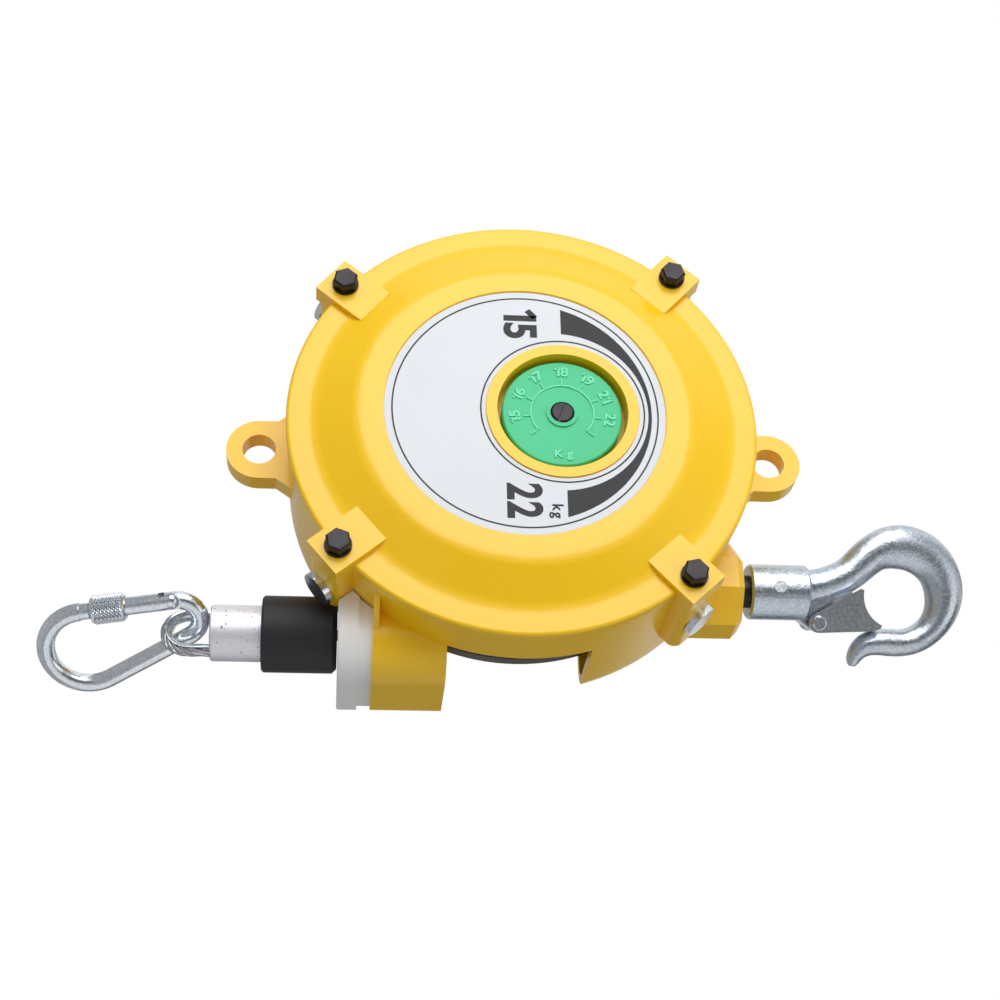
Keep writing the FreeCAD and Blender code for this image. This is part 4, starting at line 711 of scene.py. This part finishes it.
clear_selection()
start = on_face(dial_axis, SCALE_RADIUS, SCALE_LAST, stroke_height)
bpy.ops.mesh.primitive_plane_add(size=1, location=start)
arc = bpy.context.object
arc.scale = (LINE, RAISED, 1)
bpy.ops.object.transform_apply(location=False, rotation=False, scale=True)
arc.data.transform(about_dial(SCALE_LAST + 90))
bpy.ops.object.mode_set(mode="EDIT")
bpy.ops.mesh.select_all(action="SELECT")
bpy.ops.mesh.spin(
    steps=72, angle=math.radians(SCALE_FIRST - SCALE_LAST), center=dial_axis, axis=(0, 1, 0)
)
bpy.ops.object.mode_set(mode="OBJECT")
place_in_mesh(arc)
recalculate(arc)
ends = [arc.data.vertices[0].co - dial_axis, arc.data.vertices[-1].co - dial_axis]
print("arc ends at", [tuple(round(value / MM, 1) for value in end) for end in ends])

# %% Ticks
marks = [arc]
for degrees in tick_degrees:
    marks.append(raised_bar(SCALE_RADIUS, TICK_END, degrees))
for degrees in (SCALE_FIRST - END_INSET, SCALE_LAST + END_INSET):
    marks.append(raised_bar(SCALE_RADIUS - LINE / 2, LAST_TICK_END, degrees))
settle(join(marks), "dial_scale", "dial", dial_relief_painted_highlight)
print("scale has", len(LOADS), "ticks")

# %% Figures round the dial
FIGURE_WEIGHT = 0.03
dial_figures = []
for load, degrees in zip(LOADS, tick_degrees):
    centre = on_face(dial_axis, 21.4 * MM, degrees, stroke_height)
    dial_figures.append(lettering(
        load, centre, outward(degrees), 4.9 * MM, 6.4 * MM, RAISED, FIGURE_WEIGHT
    ))
unit = on_face(dial_axis, 21.6 * MM, 270, stroke_height)
dial_figures.append(lettering("K g", unit, LEFT, 5.2 * MM, 8.2 * MM, RAISED, FIGURE_WEIGHT))
settle(join(dial_figures), "dial_figures", "dial", dial_relief_painted_highlight)
print("figures on the dial:", LOADS)

# %% [markdown]
# ## Wire rope
# The rope is six strands laid round a core. A tube along each strand's helix shows that
# lay in the outline too, which a bump on one smooth tube would not. A route gives the
# rope's line; round it each strand goes once per lay. The thickness of a strand follows
# from the rope's: six equal circles round a seventh fill a circle three times as wide.

# %% Lay six strands along a route
ROPE_RADIUS = 2.38 * MM
STRAND_RADIUS = ROPE_RADIUS / 3
LAY = 30 * MM
STRANDS = 6


def add_spline(curve, kind, spots):
    spline = curve.splines.new(kind)
    spline.points.add(len(spots) - 1)
    spline.points.foreach_set("co", [part for spot in spots for part in (*spot, 1)])
    return spline


def lay_rope(name, routes, normal, turns_at):
    """Strands round each route, a list of points in a plane that has this normal."""
    curve = bpy.data.curves.new(name, "CURVE")
    curve.dimensions = "3D"
    curve.bevel_depth = STRAND_RADIUS * 1.04
    curve.bevel_resolution = 1
    curve.use_fill_caps = True
    for route, closed in routes:
        last = len(route) - 1
        for strand in range(STRANDS):
            line = []
            for number, point in enumerate(route):
                before = route[number - 1] if number or closed else point
                after = route[(number + 1) % len(route)] if number < last or closed else point
                side = (after - before).normalized().cross(normal)
                angle = 2 * math.pi * (strand / STRANDS + turns_at(number, route))
                out = math.cos(angle) * normal + math.sin(angle) * side
                line.append(point + 2 * STRAND_RADIUS * out)
            add_spline(curve, "POLY", line).use_cyclic_u = closed
    pick(link(name, curve))
    bpy.ops.object.convert(target="MESH")
    smooth(bpy.context.object, 60)
    return bpy.context.object


print("strand radius", round(STRAND_RADIUS / MM, 2), "mm")

# %% [markdown]
# On the drum the rope lies in five grooves, each a little wider than the last, so that
# the drum's growing radius answers the spring's growing pull. A whole number of lays
# goes into each ring, so that its strands close on themselves.

# %% The wound rope
FIRST_GROOVE = 84.5 * MM
GROWTH = 1.08 * MM
PITCH = 5.3 * MM
POINTS_PER_LAY = 8
GROOVES = 5
FIRST_START, FIRST_SWEEP = -89, 267.0
lays = round(2 * math.pi * FIRST_GROOVE / LAY)


def ring_point(groove, degrees):
    radius = FIRST_GROOVE + groove * GROWTH
    return on_face(casing_axis, radius, degrees, rope_line.y - groove * PITCH)


def around(number, route):
    return lays * number / len(route)


count = lays * POINTS_PER_LAY
first_turn = [ring_point(0, FIRST_START + FIRST_SWEEP * n / count) for n in range(count + 1)]
routes = [(first_turn, False)]
for groove in range(1, GROOVES):
    routes.append(([ring_point(groove, 360.0 * n / count) for n in range(count)], True))
wound = lay_rope("wound_rope", routes, TOWARDS_VIEWER, around)
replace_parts(settle(wound, "wound_rope", "drum", rope_steel), "rope_coil")
print("wound rope:", len(wound.data.polygons), "faces")

# %% [markdown]
# The straight lead joins the drum to the ferrule and has to stretch by the whole travel
# when the tool is pulled down. Its strands are packed at rest where they are hidden, so
# that the lay is even once the rope is out.

# %% The rope lead
lead_top = Vector((rope_line.x, rope_line.y, casing_axis.z))
lead_end = Vector((rope_line.x, rope_line.y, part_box("rope_lead")[0].z))
stretch_end = Vector((rope_line.x, rope_line.y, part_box("buffer")[1].z))
LEAD_POINTS = 620


def paid_out(share):
    """How far down the rope a point will be when all the travel is out."""
    depth = share * (lead_top.z - lead_end.z)
    step_share = min(1.0, depth / (lead_top.z - stretch_end.z))
    return depth + TRAVEL * step_share * step_share * (3 - 2 * step_share)


lead_line = [lead_top.lerp(lead_end, number / LEAD_POINTS) for number in range(LEAD_POINTS + 1)]
lead = lay_rope(
    "stranded_lead", [(lead_line, False)], TOWARDS_VIEWER,
    lambda number, route: paid_out(number / LEAD_POINTS) / LAY,
)
coat(lead, rope_steel)
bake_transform(lead)
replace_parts(lead, "rope_lead")
print("lead:", len(lead.data.polygons), "faces")

# %% [markdown]
# Below the ferrule the rope goes round its thimble. The route is a smooth curve that a
# few points pull into shape: down one leg, half round the eye, and up the other leg.

# %% The eye
swing = next(joint for joint in frame["joints"] if joint["name"] == "carabiner_swing")
eye_normal = Vector(swing["axis"]).normalized()
eye_side = Vector((0, 0, 1)).cross(eye_normal)
EYE_RADIUS = 10.1 * MM
eye_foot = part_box("rope_eye")[0].z
eye_centre = Vector((rope_line.x, rope_line.y, eye_foot + ROPE_RADIUS + EYE_RADIUS))
ferrule_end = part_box("ferrule")[0].z
CORNER_CUT = 0.966
HIDDEN_END = 1.5 * MM
STRAIGHT_FROM = 3 * MM


def eye_route():
    """The curve cuts inside its corners, so those stand out a little from the eye."""
    leg = eye_side * EYE_RADIUS
    top = UP * (ferrule_end - eye_centre.z + HIDDEN_END)
    knee = UP * STRAIGHT_FROM
    spots = [eye_centre + leg + top, eye_centre + leg + knee]
    for degrees in range(-15, -180, -30):
        turn = math.radians(degrees)
        arm = math.cos(turn) * eye_side + math.sin(turn) * UP
        spots.append(eye_centre + EYE_RADIUS / CORNER_CUT * arm)
    spots += [eye_centre - leg + knee, eye_centre - leg + top]
    guide = bpy.data.curves.new("eye_guide", "CURVE")
    guide.dimensions = "3D"
    guide.resolution_u = 8
    spline = add_spline(guide, "NURBS", spots)
    spline.order_u = 3
    spline.use_endpoint_u = True
    holder = link("eye_guide", guide)
    line = bpy.data.meshes.new_from_object(holder)
    route = [Vector(vertex.co) for vertex in line.vertices]
    bpy.data.objects.remove(holder)
    bpy.data.meshes.remove(line)
    return route


route = eye_route()
length = sum((b - a).length for a, b in zip(route, route[1:]))
eye = lay_rope(
    "stranded_eye", [(route, False)], eye_normal,
    lambda number, line: length * number / (len(line) - 1) / LAY,
)
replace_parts(settle(eye, "stranded_eye", "rope_end", rope_steel), "rope_eye")
print("eye rope is", round(length / MM, 1), "mm long")

# %% [markdown]
# ## The knurled sleeve
# The gate's screw sleeve has a diamond knurl, so that a gloved hand can turn it. A
# short ring of faces is repeated along the sleeve. Poking each face and dissolving the
# old edges leaves a net of diamonds, and poking those outwards makes the small pyramids.

# %% A tube of small faces
KNURL_LENGTH = 13.2 * MM
KNURL_RADIUS = 5.96 * MM
KNURL_ROWS = 8
KNURL_SIDES = 24
PYRAMID = 0.6 * MM
row_depth = KNURL_LENGTH / KNURL_ROWS
clear_selection()
bpy.ops.mesh.primitive_cylinder_add(
    vertices=KNURL_SIDES, radius=KNURL_RADIUS, depth=row_depth, end_fill_type="NOTHING"
)
knurl = bpy.context.object
apply_modifier(
    knurl, "rows", "ARRAY", count=KNURL_ROWS, use_relative_offset=False,
    use_constant_offset=True, constant_offset_displace=(0, 0, row_depth),
    use_merge_vertices=True, merge_threshold=0.05 * MM,
)
knurl.data.transform(Matrix.Translation((0, 0, -(KNURL_LENGTH - row_depth) / 2)))
print("knurl starts from", len(knurl.data.polygons), "faces")

# %% Diamonds and pyramids
tube_vertices = len(knurl.data.vertices)
bpy.ops.object.mode_set(mode="EDIT")
bpy.ops.mesh.select_all(action="SELECT")
bpy.ops.mesh.poke(offset=0)
bpy.ops.mesh.select_mode(type="EDGE")
net = bmesh.from_edit_mesh(knurl.data)
net.verts.index_update()
for edge in net.edges:
    first_net = all(vertex.index < tube_vertices for vertex in edge.verts)
    edge.select_set(first_net and len(edge.link_faces) == 2)
bpy.ops.mesh.dissolve_edges(use_verts=False)
bpy.ops.mesh.select_mode(type="FACE")
net = bmesh.from_edit_mesh(knurl.data)
for diamond in net.faces:
    diamond.select_set(len(diamond.verts) == 4)
bpy.ops.mesh.poke(offset=PYRAMID)
bpy.ops.object.mode_set(mode="OBJECT")
apply_modifier(knurl, "wall", "SOLIDIFY", thickness=0.3 * MM, offset=-1)
slide = next(joint for joint in frame["joints"] if joint["name"] == "sleeve_travel")
sleeve_line = Vector(slide["axis"]).normalized()
lie_along = sleeve_line.to_track_quat("Z", "Y").to_matrix().to_4x4()
knurl.data.transform(Matrix.Translation(middle("gate_sleeve")) @ lie_along)
settle(knurl, "knurled_band", "sleeve", bright_zinc)
print("knurl has", len(knurl.data.polygons), "faces")

# %% [markdown]
# ## Studio
# A pale floor lies below the hanging balancer, clear of the rope when all of it is drawn
# out. The world is white to the camera and lights the balancer from all sides at about
# half that level. What polished metal mirrors is a light room with dark bands in it,
# because bare white all round would leave zinc looking like paper.

# %% Floor
FLOOR_GAP = 0.1
WHITE, BLACK = (1, 1, 1), (0, 0, 0)
floor_height = cad_low.z - TRAVEL - FLOOR_GAP
clear_selection()
bpy.ops.mesh.primitive_plane_add(size=12, location=(0, 0, floor_height))
floor = bpy.context.object
floor.name = "studio_floor"
pale = Finish("studio_floor", Roughness=0.9, Emission_Strength=1.0)
seen = pale.node("LightPath", output="Is Camera Ray")
pale.set(
    Base_Color=pale.blend(pale.noise(3), (0.80, 0.80, 0.80), (0.84, 0.84, 0.84)),
    Emission_Color=pale.blend(seen, BLACK, (0.75, 0.75, 0.75)),
)
floor.data.materials.append(pale.material)
print("floor at", round(floor_height / MM), "mm")

# %% World
world = bpy.data.worlds.new("studio")
bpy.context.scene.world = world
world.use_nodes = True
room = Nodes(world.node_tree)
background = room.tree.nodes["Background"]
camera_ray = room.node("LightPath", output="Is Camera Ray")
mirror_ray = room.node("LightPath", output="Is Glossy Ray")
glass_ray = room.node("LightPath", output="Is Transmission Ray")
direction = room.node("TexCoord", output="Generated")
sideways = room.node("SeparateXYZ", None, {0: direction}, output=0)
across = sideways * 0.5 + 0.5
mirrored = room.ramp(
    across, (0.0, 1.0), (0.2, 1.0), (0.32, 0.36), (0.48, 0.9),
    (0.62, 0.05), (0.8, 0.3), (0.9, 0.8), (1.0, 0.9),
)
soft = room.ramp(across, (0.0, 0.66), (0.5, 0.46), (1.0, 0.34))
lit = room.blend(mirror_ray + glass_ray, soft, mirrored)
room.feed(background, {"Color": room.blend(camera_ray, lit, WHITE), "Strength": 1.0})
bpy.context.scene.view_settings.view_transform = "Standard"
print("world is wired with", len(room.tree.nodes), "nodes")

# %% [markdown]
# ## Camera and lamps
# The camera looks at the dial a little from the rope's side and is rolled by nearly a
# quarter turn, as if the balancer lay on a table with its hook to the right. Three angles
# say that, and the camera's own directions follow from them. The key lamp is a large box
# above the camera's frame, and a weaker one fills from the right.

# %% Camera
LENS = 64.62
SENSOR = 36
DISTANCE = 0.8
ASIDE, BELOW = 10.6 * MM, 35.9 * MM
swing_round = math.radians(28.678)
lift_up = math.radians(-4.911)
roll = math.radians(91.516)
back = Vector((
    math.cos(lift_up) * math.sin(swing_round),
    -math.cos(lift_up) * math.cos(swing_round),
    math.sin(lift_up),
))
level = Vector((math.cos(swing_round), math.sin(swing_round), 0))
right = math.cos(roll) * level + math.sin(roll) * back.cross(level)
above = back.cross(right)
flange = Vector((casing_axis.x, flange_face, casing_axis.z))
camera = link("camera", bpy.data.cameras.new("camera"))
camera.data.lens = LENS
camera.data.sensor_width = SENSOR
camera.data.clip_start = 0.05
place = flange + DISTANCE * back - ASIDE * right - BELOW * above
turn = Matrix((right, above, back)).transposed().to_4x4()
camera.matrix_world = Matrix.Translation(place) @ turn
bpy.context.scene.camera = camera
print("camera at", [round(part, 3) for part in place])


# %% Lamps
def softbox(name, direction, distance, side, watts):
    lamp = bpy.data.lights.new(name, "AREA")
    lamp.energy = watts
    lamp.size = side
    holder = link(name, lamp)
    holder.location = flange + direction.normalized() * distance
    holder.rotation_mode = "QUATERNION"
    holder.rotation_quaternion = direction.to_track_quat("Z", "Y")


softbox("key", 0.9 * above + 0.6 * back + 0.15 * right, 1.1, 0.9, 8.6)
softbox("fill", 0.5 * back + 0.9 * right - 0.2 * above, 1.2, 0.7, 1.6)
print("lamps placed")
